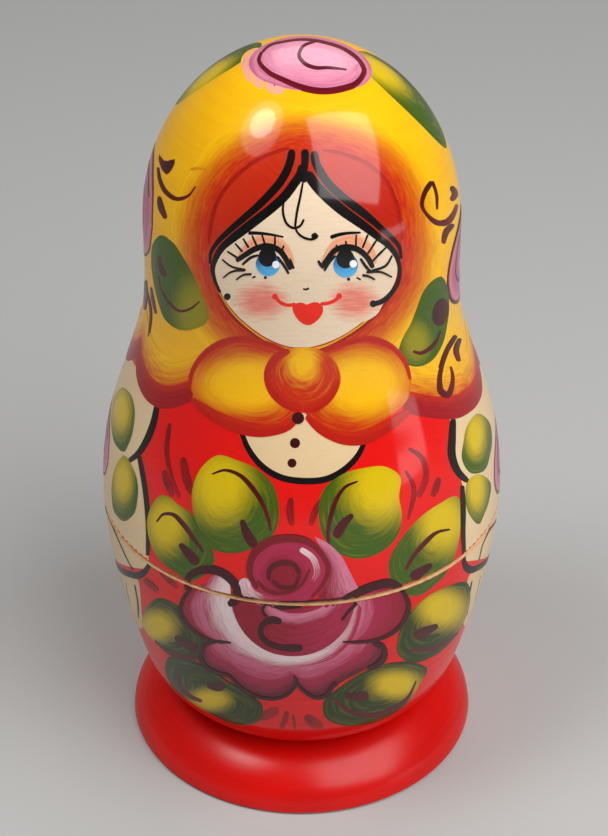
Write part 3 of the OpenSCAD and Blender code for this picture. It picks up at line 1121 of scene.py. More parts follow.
BUD_TURNS = [
    ([(257, 580), (268, 590), (285, 592), (301, 584), (310, 568)], [2, 5, 5, 4, 2], MAROON_RED),
    ([(269, 580), (270, 569), (282, 562), (295, 565), (300, 574)], [2, 6, 7, 6, 2], ROSE_DARK),
    ([(300, 574), (293, 586), (280, 586), (272, 579)], [2, 5, 5, 2], ROSE_DARK),
]
BUD_PALE = [([(243, 578), (248, 591), (262, 599), (282, 600)], [5, 13, 12, 4]),
            ([(300, 548), (313, 558), (317, 572), (311, 586)], [2, 7, 7, 2])]
ROSE_LINES = [
    (
        [
            (187, 590), (189, 577), (200, 570), (216, 570), (229, 577), (237, 588), (237, 599),
            (228, 604),
        ],
        [3, 7, 9, 9, 9, 9, 5],
    ),
    (
        [
            (238, 596), (260, 600), (290, 602), (320, 601), (345, 598), (360, 591), (376, 585),
            (392, 583), (403, 590),
        ],
        [2, 4, 4, 4, 5, 9, 9, 4],
    ),
    (
        [(402, 589), (408, 604), (405, 617), (397, 628), (385, 636), (370, 640), (342, 641)],
        [4, 6, 5, 4, 3, 1.5],
    ),
    ([(372, 642), (383, 647), (384, 656), (377, 664), (367, 668)], [2, 6, 7, 6, 4]),
    ([(357, 602), (347, 612), (341, 620)], [4, 4, 1.5]),
    ([(303, 605), (280, 607), (265, 604), (263, 610), (267, 616)], [2, 4, 4, 2]),
    (
        [
            (282, 621), (271, 619), (263, 624), (261, 633), (267, 641), (279, 646), (292, 647),
            (303, 647),
        ],
        [5, 8, 6, 6, 6, 8, 5],
    ),
    (
        [(192, 588), (184, 598), (181, 610), (186, 621), (196, 631), (210, 639), (232, 642)],
        [2, 5, 5, 4, 1.5],
    ),
    (
        [(232, 642), (215, 641), (204, 646), (201, 656), (206, 666), (217, 672), (231, 675)],
        [1.5, 4, 6, 5, 3],
    ),
    (
        [(229, 674), (240, 686), (262, 697), (280, 697), (292, 690), (297, 680), (294, 675)],
        [3, 4, 4, 4, 4, 3],
    ),
    ([(297, 683), (305, 691), (316, 697), (327, 694), (334, 684), (338, 682)], [2, 4, 4, 5, 6]),
]


def petal(inner, outer, dark, pale_part):
    """A petal: pink, darker to its outer edge, with pale strokes along its inner edge."""
    band("rose", inner, outer, PINK, dark, to_edge(0.25, 0.95), 0.3)
    n = len(open_curve(inner, PATCH_GAP))
    first, last = open_curve(inner, PATCH_GAP, n), open_curve(outer, PATCH_GAP, n)
    between("rose", first, first + pale_part * (last - first), PALE_PINK, PINK, outward_to(1.0), 0.45)


def paint_petals():
    # The lowest petals darken to ROSE_DARK at their outer edge as painted shade under the belly; the side
    # petals darken only to ROSE_RED
    petal(PETALS_IN, PETALS_OUT, ROSE_DARK, pale_part=0.5)
    petal(LEFT_PETAL_IN, LEFT_PETAL_OUT, ROSE_RED, pale_part=0.6)
    petal(RIGHT_PETAL_IN, RIGHT_PETAL_OUT, ROSE_RED, pale_part=0.35)
    band("rose", SHOULDER_IN, SHOULDER_OUT, ROSE_RED, PALE_PINK, to_edge(0.1, 0.9), 0.4)


def paint_cup():
    band("rose", CUP_BACK, CUP_FRONT, ROSE_RED, PINK, lambda g: 0.8 * eased(g.x, *CUP_SHADE), 0.4)
    stroke("rose", CUP_STREAK, CUP_STREAK_WIDTHS, PALE_PINK, ROSE_RED, to_edge(0.3, 1.0), 0.6)
    band("rose", CUP_RIM_IN, CUP_RIM_OUT, ROSE_WHITE, PINK,
         lambda g: 0.9 * eased(g.v, 0.3, 1.0) + 0.7 * eased(g.u, 0.55, 1.0), 0.4)


def paint_bud():
    patch("rose", BUD, ROSE_RED, PINK, off_centre(*BUD_SHADE, 0.5, 1.3), 0.4, middle=BUD_SHADE[:2])
    for line, widths in BUD_PALE:
        stroke("rose", line, widths, ROSE_WHITE, PINK, lambda g: 0.2 + eased(g.u, 0.1, 1.0), 0.6)
    for line, widths, colour in BUD_TURNS:
        stroke("rose", line, widths, colour, ROSE_RED, to_sides(0.2, 0.5, 0.5), 0.4)
    stroke("rose", BUD_RIM, BUD_RIM_WIDTHS, MAROON_RED, ROSE_RED, along(0.5), 0.4)


def paint_rose():
    paint_petals()
    paint_cup()
    paint_bud()
    for line, widths in ROSE_LINES:
        stroke("rose", line, widths, MAROON)


# The scarf's own flowers

CROWN_ROSE = (1.2, -3.2, 8.4, 7.0)
CROWN_LEAVES = [
    ((-11.6, 2.4, 6.2, 5.0, -8), (-13, 0, 4.5, 4), [(-6.5, 3.0), (-11, 4.4), (-16, 4.0)]),
    ((13.8, -1.0, 6.6, 5.4, -14), (10.5, -1.5, 5, 4.5), [(8.5, 2.4), (13, 2.2), (18.4, 0.2)]),
]
TOP_ROSE_RIM = [
    (262, 52), (259, 60), (268, 72), (283, 80), (300, 87), (320, 91), (341, 89), (358, 82), (364, 71),
    (359, 61), (345, 50), (325, 43), (305, 40), (285, 42), (268, 47), (262, 53),
]
TOP_ROSE_CURL = [(318, 41), (302, 48), (299, 56), (305, 64), (315, 68), (328, 68), (347, 70)]
TOP_RIM_WIDTHS = [3, 6, 7, 7, 5, 4, 3, 3]
TOP_CURL_WIDTHS = [2, 4, 5, 4, 2]
TOP_STREAK_WIDTHS = [6, 12, 5]
TOP_STREAKS = [
    [(262, 50), (248, 58), (243, 70)], [(262, 60), (249, 68), (250, 82)],
    [(268, 72), (256, 78), (262, 88)], [(278, 80), (270, 85), (284, 92)],
]
SIDE_LEAF_LEFT = [
    (160, 235), (171, 240), (182, 255), (192, 272), (202, 295), (209, 315), (207, 322), (195, 329),
    (180, 330), (166, 321), (158, 302), (153, 280), (151, 260), (154, 241),
]
SIDE_LEAF_RIGHT = [
    (441, 276), (447, 285), (449, 305), (447, 325), (442, 345), (430, 362), (415, 367), (403, 362),
    (399, 351), (403, 337), (410, 325), (417, 307), (424, 290), (434, 279),
]
SIDE_CORE_LEFT = (194, 312, 24, 44)
SIDE_CORE_RIGHT = (416, 342, 17, 24)
SIDE_VEIN_LEFT = [(159, 275), (161, 288), (169, 302), (180, 311), (190, 309), (200, 301)]
SIDE_DAB_LEFT = [(159, 255), (161, 267), (166, 277)]
SIDE_VEIN_RIGHT = [(440, 330), (435, 342), (427, 350), (420, 353), (412, 351)]
RIGHT_LEAF_DAB = (440, 312, 8.5, 15, 12)
TICK = [(159, 154), (165, 161), (175, 159), (171, 171), (167, 175), (162, 170)]
FAINT_DASH = [(190, 170), (198, 168), (206, 169)]
FAINT_WIDTHS = [2, 4, 3]
SCARF_DABS = [
    ([(158, 167), (160, 180), (166, 192), (177, 199), (188, 196), (196, 186)], [1.5, 4, 5, 5, 3, 1.2]),
    ([(159, 196), (161, 207), (166, 219)], [2, 7, 3]),
    ([(146, 280), (146, 295), (145, 310)], [1.5, 4, 2]),
    ([(151, 287), (153, 300), (156, 314)], [1.5, 4, 2]),
    ([(147, 290), (151, 312), (149, 337)], [1.5, 3, 1.5]),
    (
        [
            (432, 181), (425, 192), (422, 206), (428, 216), (438, 223), (447, 222), (454, 213),
            (457, 204),
        ],
        [3, 6, 5, 4, 6, 7, 5, 2],
    ),
    ([(432, 181), (436, 193), (437, 210)], [4, 4, 1.5]),
    ([(451, 186), (455, 194), (451, 201)], [3, 7, 3]),
    ([(454, 224), (446, 232), (443, 244)], [2, 7, 4]),
    (
        [
            (456, 335), (447, 350), (441, 367), (439, 382), (441, 392), (447, 395), (451, 387),
            (452, 375), (450, 366),
        ],
        [2, 5, 5, 5, 6, 8, 6, 4, 2],
    ),
    ([(460, 338), (456, 350), (459, 362)], [2, 6, 3]),
]
SIDE_ROSES = [(-88, 93.5, 77, 49), (86, 85.5, 77, 43)]


def paint_top_rose():
    for (x, y, rx, ry, lean), core, vein in CROWN_LEAVES:
        outline = from_above(ellipse(x, y, rx, ry, lean))
        leaf("scarf", outline, from_above(core), from_above(vein), chart=crown)
    for line in TOP_STREAKS:
        stroke("scarf", line, TOP_STREAK_WIDTHS, TOP_PINK, SCARF,
               lambda g: 0.35 + 0.65 * eased(np.abs(g.v - 0.5), 0.1, 0.5), 0.5)
    patch("scarf", from_above(ellipse(*CROWN_ROSE)), TOP_PINK, MAUVE, to_edge(0.3, 1, 0.7), 0.45, crown)
    stroke("scarf", TOP_ROSE_RIM, TOP_RIM_WIDTHS, ROSE_DARK, MAROON_RED, outward_to(1.0), 0.3)
    stroke("scarf", TOP_ROSE_CURL, TOP_CURL_WIDTHS, ROSE_DARK)


def paint_scarf():
    paint_top_rose()
    leaf("scarf", SIDE_LEAF_LEFT, SIDE_CORE_LEFT, SIDE_VEIN_LEFT, SIDE_DAB_LEFT,
         light=LEAF_OLIVE, bold=0.65)
    leaf("scarf", SIDE_LEAF_RIGHT, SIDE_CORE_RIGHT, SIDE_VEIN_RIGHT, light=LEAF_OLIVE, bold=0.9)
    patch("scarf", ellipse(*RIGHT_LEAF_DAB), MAROON, MAROON_RED, None, 0.3)
    patch("scarf", TICK, MAROON, MAROON_RED, outward_to(0.4), 0.4)
    stroke("scarf", FAINT_DASH, FAINT_WIDTHS, SCARF_RED, SCARF, steady(0.4), 0.6)
    for line, widths in SCARF_DABS:
        stroke("scarf", line, widths, MAROON, MAROON_RED, along(0.8), 0.3)
    for azimuth, z, rx, ry in SIDE_ROSES:
        small_rose("scarf", *rolled_out((azimuth, z)), rx, ry, unrolled)


# The sleeves, cuffs and hands

SLEEVES = [
    (
        [
            (-53, 71), (-52.6, 66), (-54, 62.5), (-55, 60), (-51, 57.2), (-48.6, 54.5), (-47.2, 51),
            (-46.8, 47), (-46.6, 43),
        ],
        [(-117, 68), (-118, 62), (-113, 54), (-104, 46), (-95, 38), (-88, 31)],
    ),
    (
        [(54, 69), (52, 64.5), (50, 61), (51.5, 57.5), (51.6, 54), (50.6, 50), (50.8, 46), (51.4, 43)],
        [(115, 66), (116, 60), (111, 52), (103, 44), (95, 37), (88, 31.5)],
    ),
]
SLEEVE_BACK_WIDTHS = [6, 6, 6]
SLEEVE_LINES = [
    ([(158, 401), (153, 425), (146, 442), (138, 454), (128, 462)], [5, 7, 8, 7, 4]),
    ([(139, 455), (143, 475), (146, 495), (148, 520), (148, 556)], [4, 6, 6, 5, 4]),
    ([(453, 418), (452, 437), (452, 457), (458, 472), (468, 482)], [5, 8, 9, 8, 4]),
    ([(462, 485), (463, 505), (463, 530), (464, 559)], [4, 6, 5, 4]),
]
CUFF_LINES = [
    ([(-55.5, 40), (-58.2, 41), (-64, 43), (-72.4, 44.1), (-82, 42.5), (-93, 37)], [3, 5, 5, 5, 4]),
    (
        [(-46.2, 44.3), (-48.9, 42), (-53, 39.8), (-60, 37.7), (-72.5, 34.4), (-89, 31)],
        [4, 7, 8, 7, 5, 4],
    ),
    ([(61, 40), (62, 42.4), (66.3, 43.4), (73, 42.6), (82, 40), (93, 35.5)], [3, 5, 5, 5, 4]),
    (
        [(50.8, 43.8), (52.9, 41.5), (56.2, 39.8), (62.3, 38.2), (76.7, 34.6), (89, 31.5)],
        [5, 8, 8, 7, 5, 4],
    ),
]
HANDS = [
    [(-54, 39), (-62, 36.5), (-74, 33.5), (-80, 30), (-76, 25.5), (-69, 23.5), (-61, 26), (-56, 31.5)],
    [(56, 39), (64, 37), (76, 34), (80, 30), (77, 25.5), (71, 23), (63, 26), (57, 32)],
]
HAND_LINES = [
    ([(-56, 37), (-57, 33), (-61, 28)], [5, 5, 2]),
    ([(-64, 34.5), (-66, 31), (-68, 28)], [2, 3.5, 1.5]),
    ([(-71, 33), (-72, 30), (-73, 27.5)], [2, 3, 1.5]), ([(58, 37), (59, 33), (63, 28)], [5, 5, 2]),
    ([(66, 35), (68, 31), (70, 28)], [2, 3.5, 1.5]), ([(73, 33.5), (74, 30), (75, 27.5)], [2, 3, 1.5]),
]
SLEEVE_LEAVES = [
    [
        (123, 387), (131, 394), (135, 408), (134, 428), (129, 445), (124, 453), (117, 447), (112, 430),
        (112, 410), (115, 395),
    ],
    [
        (124, 455), (133, 467), (138, 482), (138, 500), (134, 515), (124, 522), (116, 515), (112, 497),
        (113, 477), (118, 462),
    ],
    [
        (478, 413), (488, 420), (492, 437), (490, 455), (483, 472), (471, 474), (462, 462), (463, 442),
        (467, 425),
    ],
    [(478, 474), (489, 480), (489, 500), (483, 517), (479, 525), (469, 515), (465, 497), (468, 480)],
]
SLEEVE_CORE = (-2, -10, 13, 30)
SLEEVE_ROSES = [(-91, 53.5, 58, 36), (89, 51, 60, 36)]


def paint_sleeve(front, back):
    """Cream sleeve from its front edge to its back edge, under the hem and down to the cuff."""
    n = len(open_curve(front, HEM_STEP))
    front, back = open_curve(front, HEM_STEP, n), open_curve(back, HEM_STEP, n)
    around("sleeves", front, back, CREAM, CREAM_LOW, outward_to(0.6), 0.3)
    stroke("sleeves", rolled_out(back), SLEEVE_BACK_WIDTHS, BLACK, chart=unrolled)


def paint_hands():
    for hand in HANDS:
        patch("sleeves", rolled_out(hand), CREAM, CREAM_LOW, outward_to(0.6), 0.3, unrolled, grain=90)
    for line, widths in HAND_LINES + CUFF_LINES:
        stroke("sleeves", rolled_out(line), widths, BLACK, chart=unrolled)


def paint_sleeves():
    for front, back in SLEEVES:
        paint_sleeve(front, back)
    paint_hands()
    for line, widths in SLEEVE_LINES:
        stroke("sleeves", line, widths, BLACK)
    for azimuth, z, rx, ry in SLEEVE_ROSES:
        small_rose("sleeves", *rolled_out((azimuth, z)), rx, ry, unrolled)
    for outline in SLEEVE_LEAVES:
        middle = [*np.mean(outline, axis=0), 0, 0]
        leaf("sleeves", outline, np.add(middle, SLEEVE_CORE))


# The back, which the photograph doesn't show

BACK_CORE = (-4, -12, 26, 40)
BACK_VEIN = 0.6
BACK_VEIN_BEND = 3
BACK_DAB_WIDTHS = [2, 7, 2]
BACK_ROSES = [("scarf", 302, 245, 62, 66), ("leaves", 302, 560, 70, 72)]
BACK_LEAVES = [
    ("scarf", 226, 286, 27, 52, 38), ("scarf", 378, 286, 27, 52, -38), ("scarf", 232, 196, 24, 44, 128),
    ("scarf", 372, 196, 24, 44, -128), ("leaves", 206, 526, 30, 58, 150),
    ("leaves", 398, 526, 30, 58, -150), ("leaves", 212, 622, 28, 56, 42),
    ("leaves", 392, 622, 28, 56, -42), ("leaves", 268, 668, 24, 46, 16),
    ("leaves", 338, 668, 24, 46, -16), ("leaves", 256, 468, 24, 44, 160),
    ("leaves", 348, 468, 24, 44, -160),
]
BACK_DABS = [
    ("scarf", [(302, 330), (297, 350), (302, 372)]), ("scarf", [(282, 330), (270, 346), (268, 364)]),
    ("scarf", [(322, 330), (334, 346), (336, 364)]), ("leaves", [(302, 474), (298, 456), (302, 438)]),
    ("leaves", [(160, 570), (152, 590), (158, 612)]), ("leaves", [(444, 570), (452, 590), (446, 612)]),
]


def paint_back():
    chart = seen_from(180)
    for group, x, y, rx, ry, lean in BACK_LEAVES:
        tip = BACK_VEIN * ry * np.array([-math.sin(math.radians(lean)), math.cos(math.radians(lean))])
        vein = [(x - tip[0], y - tip[1]), (x + BACK_VEIN_BEND, y), (x + tip[0], y + tip[1])]
        leaf(group, ellipse(x, y, rx, ry, lean), np.add((x, y, 0, 0), BACK_CORE), vein, chart=chart)
    for group, x, y, rx, ry in BACK_ROSES:
        small_rose(group, x, y, rx, ry, chart)
    for group, dab in BACK_DABS:
        stroke(group, dab, BACK_DAB_WIDTHS, MAROON, MAROON_RED, along(0.6), 0.3, chart)


paint_dress()
paint_ring()
paint_sleeves()
paint_hem()
paint_scarf()
paint_face()
paint_blouse()
paint_bow()
paint_buttons()
paint_dress_leaves()
paint_rose()
paint_back()


# Shader nodes

def new_material(name):
    material = bpy.data.materials.new(name)
    material.use_nodes = True
    return material, material.node_tree, material.node_tree.nodes["Principled BSDF"]


def add(tree, kind, inputs=None, **settings):
    """A new node. Its inputs are set, or linked where the value is another node's output."""
    node = tree.nodes.new(kind)
    for name, value in settings.items():
        setattr(node, name, value)
    for name, value in (inputs or {}).items():
        if isinstance(value, bpy.types.NodeSocket):
            tree.links.new(value, node.inputs[name])
        else:
            node.inputs[name].default_value = value
    return node


def worked(tree, operation, a, b=0.0, c=0.0):
    """Output of a math node."""
    return add(tree, "ShaderNodeMath", {0: a, 1: b, 2: c}, operation=operation).outputs[0]


def ranged(tree, value, low, high, to_low=0.0, to_high=1.0):
    """The value moved from one range to another, and held there."""
    return add(tree, "ShaderNodeMapRange", {"Value": value, "From Min": low, "From Max": high,
                                            "To Min": to_low, "To Max": to_high}).outputs[0]


def blended(tree, share, a, b, blend="MIX"):
    """Colour a where share is 0, and colour b where it is 1."""
    node = add(tree, "ShaderNodeMix", {0: share, 6: a, 7: b}, data_type="RGBA", blend_type=blend)
    return node.outputs[2]


def noise(tree, place, stretch, detail=3.0, roughness=0.55):
    """Noise of a size that depends on the direction; stretch is its repeats per millimetre."""
    spot = add(tree, "ShaderNodeMapping", {"Vector": place, "Scale": stretch}).outputs[0]
    node = add(tree, "ShaderNodeTexNoise", {"Vector": spot, "Scale": 1.0, "Detail": detail,
                                            "Roughness": roughness})
    return node.outputs["Fac"]


def wood_place(tree):
    """Places on a piece in millimetres."""
    place = add(tree, "ShaderNodeTexCoord").outputs["Object"]
    return add(tree, "ShaderNodeMapping", {"Vector": place, "Scale": (1 / MM,) * 3}).outputs[0]


def value_of(tree, name):
    return add(tree, "ShaderNodeAttribute", attribute_name=name).outputs["Fac"]


def colour_of(tree, name):
    return add(tree, "ShaderNodeAttribute", attribute_name=name).outputs["Color"]


def solid(colour):
    return (*linear(colour), 1.0)


def bumped(tree, shader, height, depth):
    """Bump of that depth in millimetres."""
    node = add(tree, "ShaderNodeBump", {"Height": height, "Strength": 1.0, "Distance": depth * MM})
    tree.links.new(node.outputs[0], shader.inputs["Normal"])


# Finishes

WOOD = (232, 198, 146)
WOOD_DARK = (196, 150, 96)
GILT = (238, 178, 66)
OLD_LACQUER = (246, 174, 2)
FOOT = (216, 10, 4)
FOOT_DARK = (192, 8, 6)
GLOSS = 0.4
GLOSS_IOR = 1.8
GLOSS_BLUR = 0.09
SATIN = 0.25
SATIN_BLUR = 0.25
WORN_NEAR, WORN_FAR = 0.0, 0.2
NO_SEAM = 99.0
UNDER_LACQUER = 0.08


def wood_colour(tree, place):
    """Pale linden: long grain up the doll, and fine rings left by the lathe."""
    grain = noise(tree, place, (0.9, 0.9, 0.05), 5)
    rings = noise(tree, place, (0.03, 0.03, 5.0), 2)
    share = worked(tree, "MULTIPLY_ADD", rings, 0.35, worked(tree, "MULTIPLY", grain, 0.8))
    return blended(tree, ranged(tree, share, 0.35, 0.8), solid(WOOD), solid(WOOD_DARK)), rings


def worn(tree, place):
    """1 where the lacquer has chipped off along an edge, else 0."""
    chips = noise(tree, place, (0.9, 0.9, 1.6), 4, 0.7)
    reach = ranged(tree, chips, 0.35, 0.75, WORN_NEAR, WORN_FAR)
    return ranged(tree, worked(tree, "SUBTRACT", reach, value_of(tree, "edge")), -0.04, 0.04)


def bare_wood():
    material, tree, shader = new_material("bare_linden")
    colour, rings = wood_colour(tree, wood_place(tree))
    tree.links.new(colour, shader.inputs["Base Color"])
    tree.links.new(ranged(tree, rings, 0.3, 0.7, 0.5, 0.68), shader.inputs["Roughness"])
    bumped(tree, shader, rings, 0.05)
    return material


def glaze(shader, gloss, blur):
    """Clear lacquer over a paint that has little shine of its own."""
    shader.inputs["Specular IOR Level"].default_value = UNDER_LACQUER
    shader.inputs["Coat Weight"].default_value = gloss
    shader.inputs["Coat IOR"].default_value = GLOSS_IOR
    shader.inputs["Coat Roughness"].default_value = blur


def lacquer(name, colour, shade, gloss, blur):
    """Brushed lacquer on turned wood, with level brush marks and chipped edges."""
    material, tree, shader = new_material(name)
    place = wood_place(tree)
    cloud = noise(tree, place, (0.06, 0.06, 0.09), 3)
    marks = noise(tree, place, (0.05, 0.05, 1.6), 4, 0.6)
    share = worked(tree, "MULTIPLY_ADD", marks, 0.6, worked(tree, "MULTIPLY", cloud, 0.6))
    coat = blended(tree, ranged(tree, share, 0.5, 0.85), solid(colour), solid(shade))
    wood = blended(tree, 0.35, wood_colour(tree, place)[0], solid(GILT))
    tree.links.new(blended(tree, worn(tree, place), coat, wood), shader.inputs["Base Color"])
    tree.links.new(ranged(tree, marks, 0.3, 0.7, 0.3, 0.42), shader.inputs["Roughness"])
    glaze(shader, gloss, blur)
    bumped(tree, shader, marks, 0.03)
    return material


def lacquered_paint():
    """Brush strokes under gloss lacquer: the coat's two colours, streaked along the stroke."""
    material, tree, shader = new_material("lacquered_paint")
    brush = add(tree, "ShaderNodeUVMap", uv_map="Stroke").outputs["UV"]
    bristles = noise(tree, brush, (0.3, 2.4, 1.0), 4, 0.6)
    hairs = noise(tree, brush, (0.4, 7.0, 1.0), 2)
    streaks = worked(tree, "MULTIPLY_ADD", hairs, 0.3, worked(tree, "MULTIPLY", bristles, 0.7))
    swing = ranged(tree, streaks, 0.3, 0.7, -1.0, 1.0)
    swing = worked(tree, "MULTIPLY", swing, value_of(tree, "paint_streak"))
    mix = value_of(tree, "paint_mix")
    share = add(tree, "ShaderNodeMath", {0: mix, 1: swing}, use_clamp=True).outputs[0]
    colour = blended(tree, share, colour_of(tree, "paint_a"), colour_of(tree, "paint_b"))
    thin = ranged(tree, bristles, 0.3, 0.7, 0.93, 1.05)
    shade = add(tree, "ShaderNodeCombineColor", {0: thin, 1: thin, 2: thin}).outputs[0]
    colour = blended(tree, 1.0, colour, shade, "MULTIPLY")
    tree.links.new(colour, shader.inputs["Base Color"])
    tree.links.new(ranged(tree, streaks, 0.3, 0.7, 0.28, 0.44), shader.inputs["Roughness"])
    glaze(shader, GLOSS, GLOSS_BLUR)
    bumped(tree, shader, streaks, 0.03)
    return material


PAINT = lacquered_paint()
BARE = bare_wood()
SCARF_LACQUER = lacquer("yellow_lacquer", SCARF, OLD_LACQUER, GLOSS, GLOSS_BLUR)
DRESS_LACQUER = lacquer("red_lacquer", DRESS, DRESS_DEEP, GLOSS, GLOSS_BLUR)
FOOT_LACQUER = lacquer("foot_lacquer", FOOT, FOOT_DARK, SATIN, SATIN_BLUR)

# Pieces


def new_piece(name, mesh, node, materials):
    """A mesh as a piece that rides on the body of a node."""
    for material in materials:
        mesh.materials.append(material)
    piece = bpy.data.objects.new(name, mesh)
    bpy.context.scene.collection.objects.link(piece)
    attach(piece, node)
    return piece


def give(mesh, name, kind, values):
    """A named value on each vertex of a mesh."""
    attribute = mesh.attributes.new(name, kind, "POINT")
    field = "value" if kind == "FLOAT" else "color"
    attribute.data.foreach_set(field, np.asarray(values, np.float32).ravel())


def give_uv(mesh, name, places):
    mesh.uv_layers.new(name=name).data.foreach_set("uv", np.asarray(places, np.float32).ravel())


def turned(line, flats):
    """Vertices of a line turned about the axis, and their numbers ring by ring. The join is at
    the back, and a point on the axis is one vertex."""
    azimuth = np.linspace(-math.pi, math.pi, flats, endpoint=False)
    around = np.column_stack([np.sin(azimuth), -np.cos(azimuth)])
    vertices, rings = [], []
    for r, z in line:
        first = len(vertices)
        if r < SAME_RING:
            vertices.append((0.0, 0.0, z))
            rings.append(np.full(flats + 1, first))
        else:
            vertices.extend((r * x, r * y, z) for x, y in around)
            rings.append(first + np.arange(flats + 1) % flats)
    return np.array(vertices), np.array(rings)


def turned_faces(line, rings):
    """Faces between rings, the texture places of their corners, and the strip each is in."""
    up = half_shares(line)
    flats = len(rings[0]) - 1
    faces, places, strips = [], [], []
    for i in range(len(line) - 1):
        for k in range(flats):
            spots = [(i, k), (i, k + 1), (i + 1, k + 1), (i + 1, k)]
            if line[i, 0] < SAME_RING:
                del spots[1]
            elif line[i + 1, 0] < SAME_RING:
                del spots[2]
            faces.append([rings[a][b] for a, b in spots])
            places.extend((b / flats, up[a]) for a, b in spots)
            strips.append(i)
    return faces, places, np.array(strips)


def mark_corners(mesh, rings, corners):
    """Edges along the rings at corners are sharp; all else is smooth."""
    ring_of = np.zeros(len(mesh.vertices), int)
    for i, ring in enumerate(rings):
        ring_of[ring] = i
    ends = np.zeros(2 * len(mesh.edges), np.int32)
    mesh.edges.foreach_get("vertices", ends)
    ends = ring_of[ends.reshape(-1, 2)]
    sharp = (ends[:, 0] == ends[:, 1]) & np.isin(ends[:, 0], corners)
    mesh.shade_smooth()
    mesh.attributes.new("sharp_edge", "BOOLEAN", "EDGE").data.foreach_set("value", sharp)


def strip_finishes(section, upper, foot):
    """Which of (paint, bare wood, red) each strip of a shell has. Red is the foot, and the edge
    of an upper half, where the dress is painted over it. A solid doll has one corner, and paint
    on everything but its bottom."""
    strips = np.arange(len(section.line) - 1)
    painted = strips >= section.seam if upper else strips < section.seam
    if not section.corners[1:]:
        painted[:] = True
    finish = np.where(painted, 0, 1)
    finish[:section.corners[0] if not upper else 0] = 1
    if foot:
        finish[section.corners[0]:body_start(section)] = 2
    if upper:
        finish[section.seam - 1] = 2
    return finish


def build_shell(doll, node, section):
    """The turned wood of one half: lacquer outside and bare wood inside."""
    upper = node.endswith("upper")
    vertices, rings = turned(section.line, doll.flats)
    faces, places, strips = turned_faces(section.line, rings)
    mesh = bpy.data.meshes.new(node)
    mesh.from_pydata(vertices * MM, [], faces)
    give_uv(mesh, "OFBake", places)
    mark_corners(mesh, rings, section.corners)
    foot = node == "outer_lower"
    finish = strip_finishes(section, upper, foot)
    mesh.polygons.foreach_set("material_index", finish[strips].astype(np.int32))
    lower = not upper and len(doll.halves) > 1
    far = lengths(section.line)
    near = np.abs(far - far[section.seam]) if lower else np.full(len(far), NO_SEAM)
    edge = np.zeros(len(vertices))
    for value, ring in zip(near, rings):
        edge[ring] = value
    give(mesh, "edge", "FLOAT", edge)
    paint = DRESS_LACQUER if lower else SCARF_LACQUER
    red = FOOT_LACQUER if foot else DRESS_LACQUER
    piece = new_piece(f"{node}_shell", mesh, node, (paint, BARE, red))
    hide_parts(node)


def coat_points(coat, doll):
    """Vertices of a coat on a doll. Its border is sunk into the wood."""
    points, out = on_doll(coat.share.ravel(), coat.azimuth.ravel(), doll)
    lift = np.where(coat.border, -SINK, FIRST_COAT + coat.level * COAT_STEP).ravel()
    return points + out * lift[:, None]


def outward(coat):
    """True where a coat's grid, walked by rows then columns, turns to the outside."""
    n, m = coat.mix.shape
    points, out = on_doll(coat.share.ravel(), coat.azimuth.ravel(), OUTER)
    points, out = points.reshape(n, m, 3), out.reshape(n, m, 3)
    rows, columns = points[1:, :-1] - points[:-1, :-1], points[:-1, 1:] - points[:-1, :-1]
    return (np.cross(rows, columns) * out[:-1, :-1]).sum() > 0


def coat_faces(coat):
    """Corners of a coat's faces as places in its grid, and how many corners each face has. A
    disc is filled at its middle by one face."""
    n, m = coat.mix.shape
    spot = np.arange(n * m).reshape(n, m)
    quads = np.stack([spot[:-1, :-1], spot[1:, :-1], spot[1:, 1:], spot[:-1, 1:]], -1).reshape(-1, 4)
    middle = spot[-2::-1, 0] if coat.disc else spot[:0, 0]
    if not outward(coat):
        quads, middle = quads[:, ::-1], middle[::-1]
    counts = [4] * len(quads) + [len(middle)] * coat.disc
    return np.concatenate([quads.ravel(), middle]), counts


PACK_SPARE = 1.1
PACK_ROOM = 0.3
STROKE_SHIFT = 37.0


def packed(sizes):
    """Places of rectangles laid in rows in a unit square, and the scale that fits them in."""
    width = max(PACK_SPARE * math.sqrt(sum(w * h for w, h in sizes)), max(w for w, h in sizes))
    places = [None] * len(sizes)
    x = y = row = 0.0
    for k in sorted(range(len(sizes)), key=lambda k: -sizes[k][1]):
        w, h = sizes[k]
        if x + w > width:
            x, y, row = 0.0, y + row, 0.0
        places[k] = np.array([x, y])
        x += w
        row = max(row, h)
    return places, 1 / max(width, y + row)


def new_mesh(name, points, corners, counts):
    """A mesh from points in millimetres, the corners of all faces in a row, and the number of
    corners of each face."""
    mesh = bpy.data.meshes.new(name)
    mesh.vertices.add(len(points))
    mesh.vertices.foreach_set("co", (points * MM).astype(np.float32).ravel())
    mesh.loops.add(len(corners))
    mesh.loops.foreach_set("vertex_index", corners.astype(np.int32))
    mesh.polygons.add(len(counts))
    mesh.polygons.foreach_set("loop_start", (np.cumsum(counts) - counts).astype(np.int32))
    mesh.update(calc_edges=True)
    return mesh


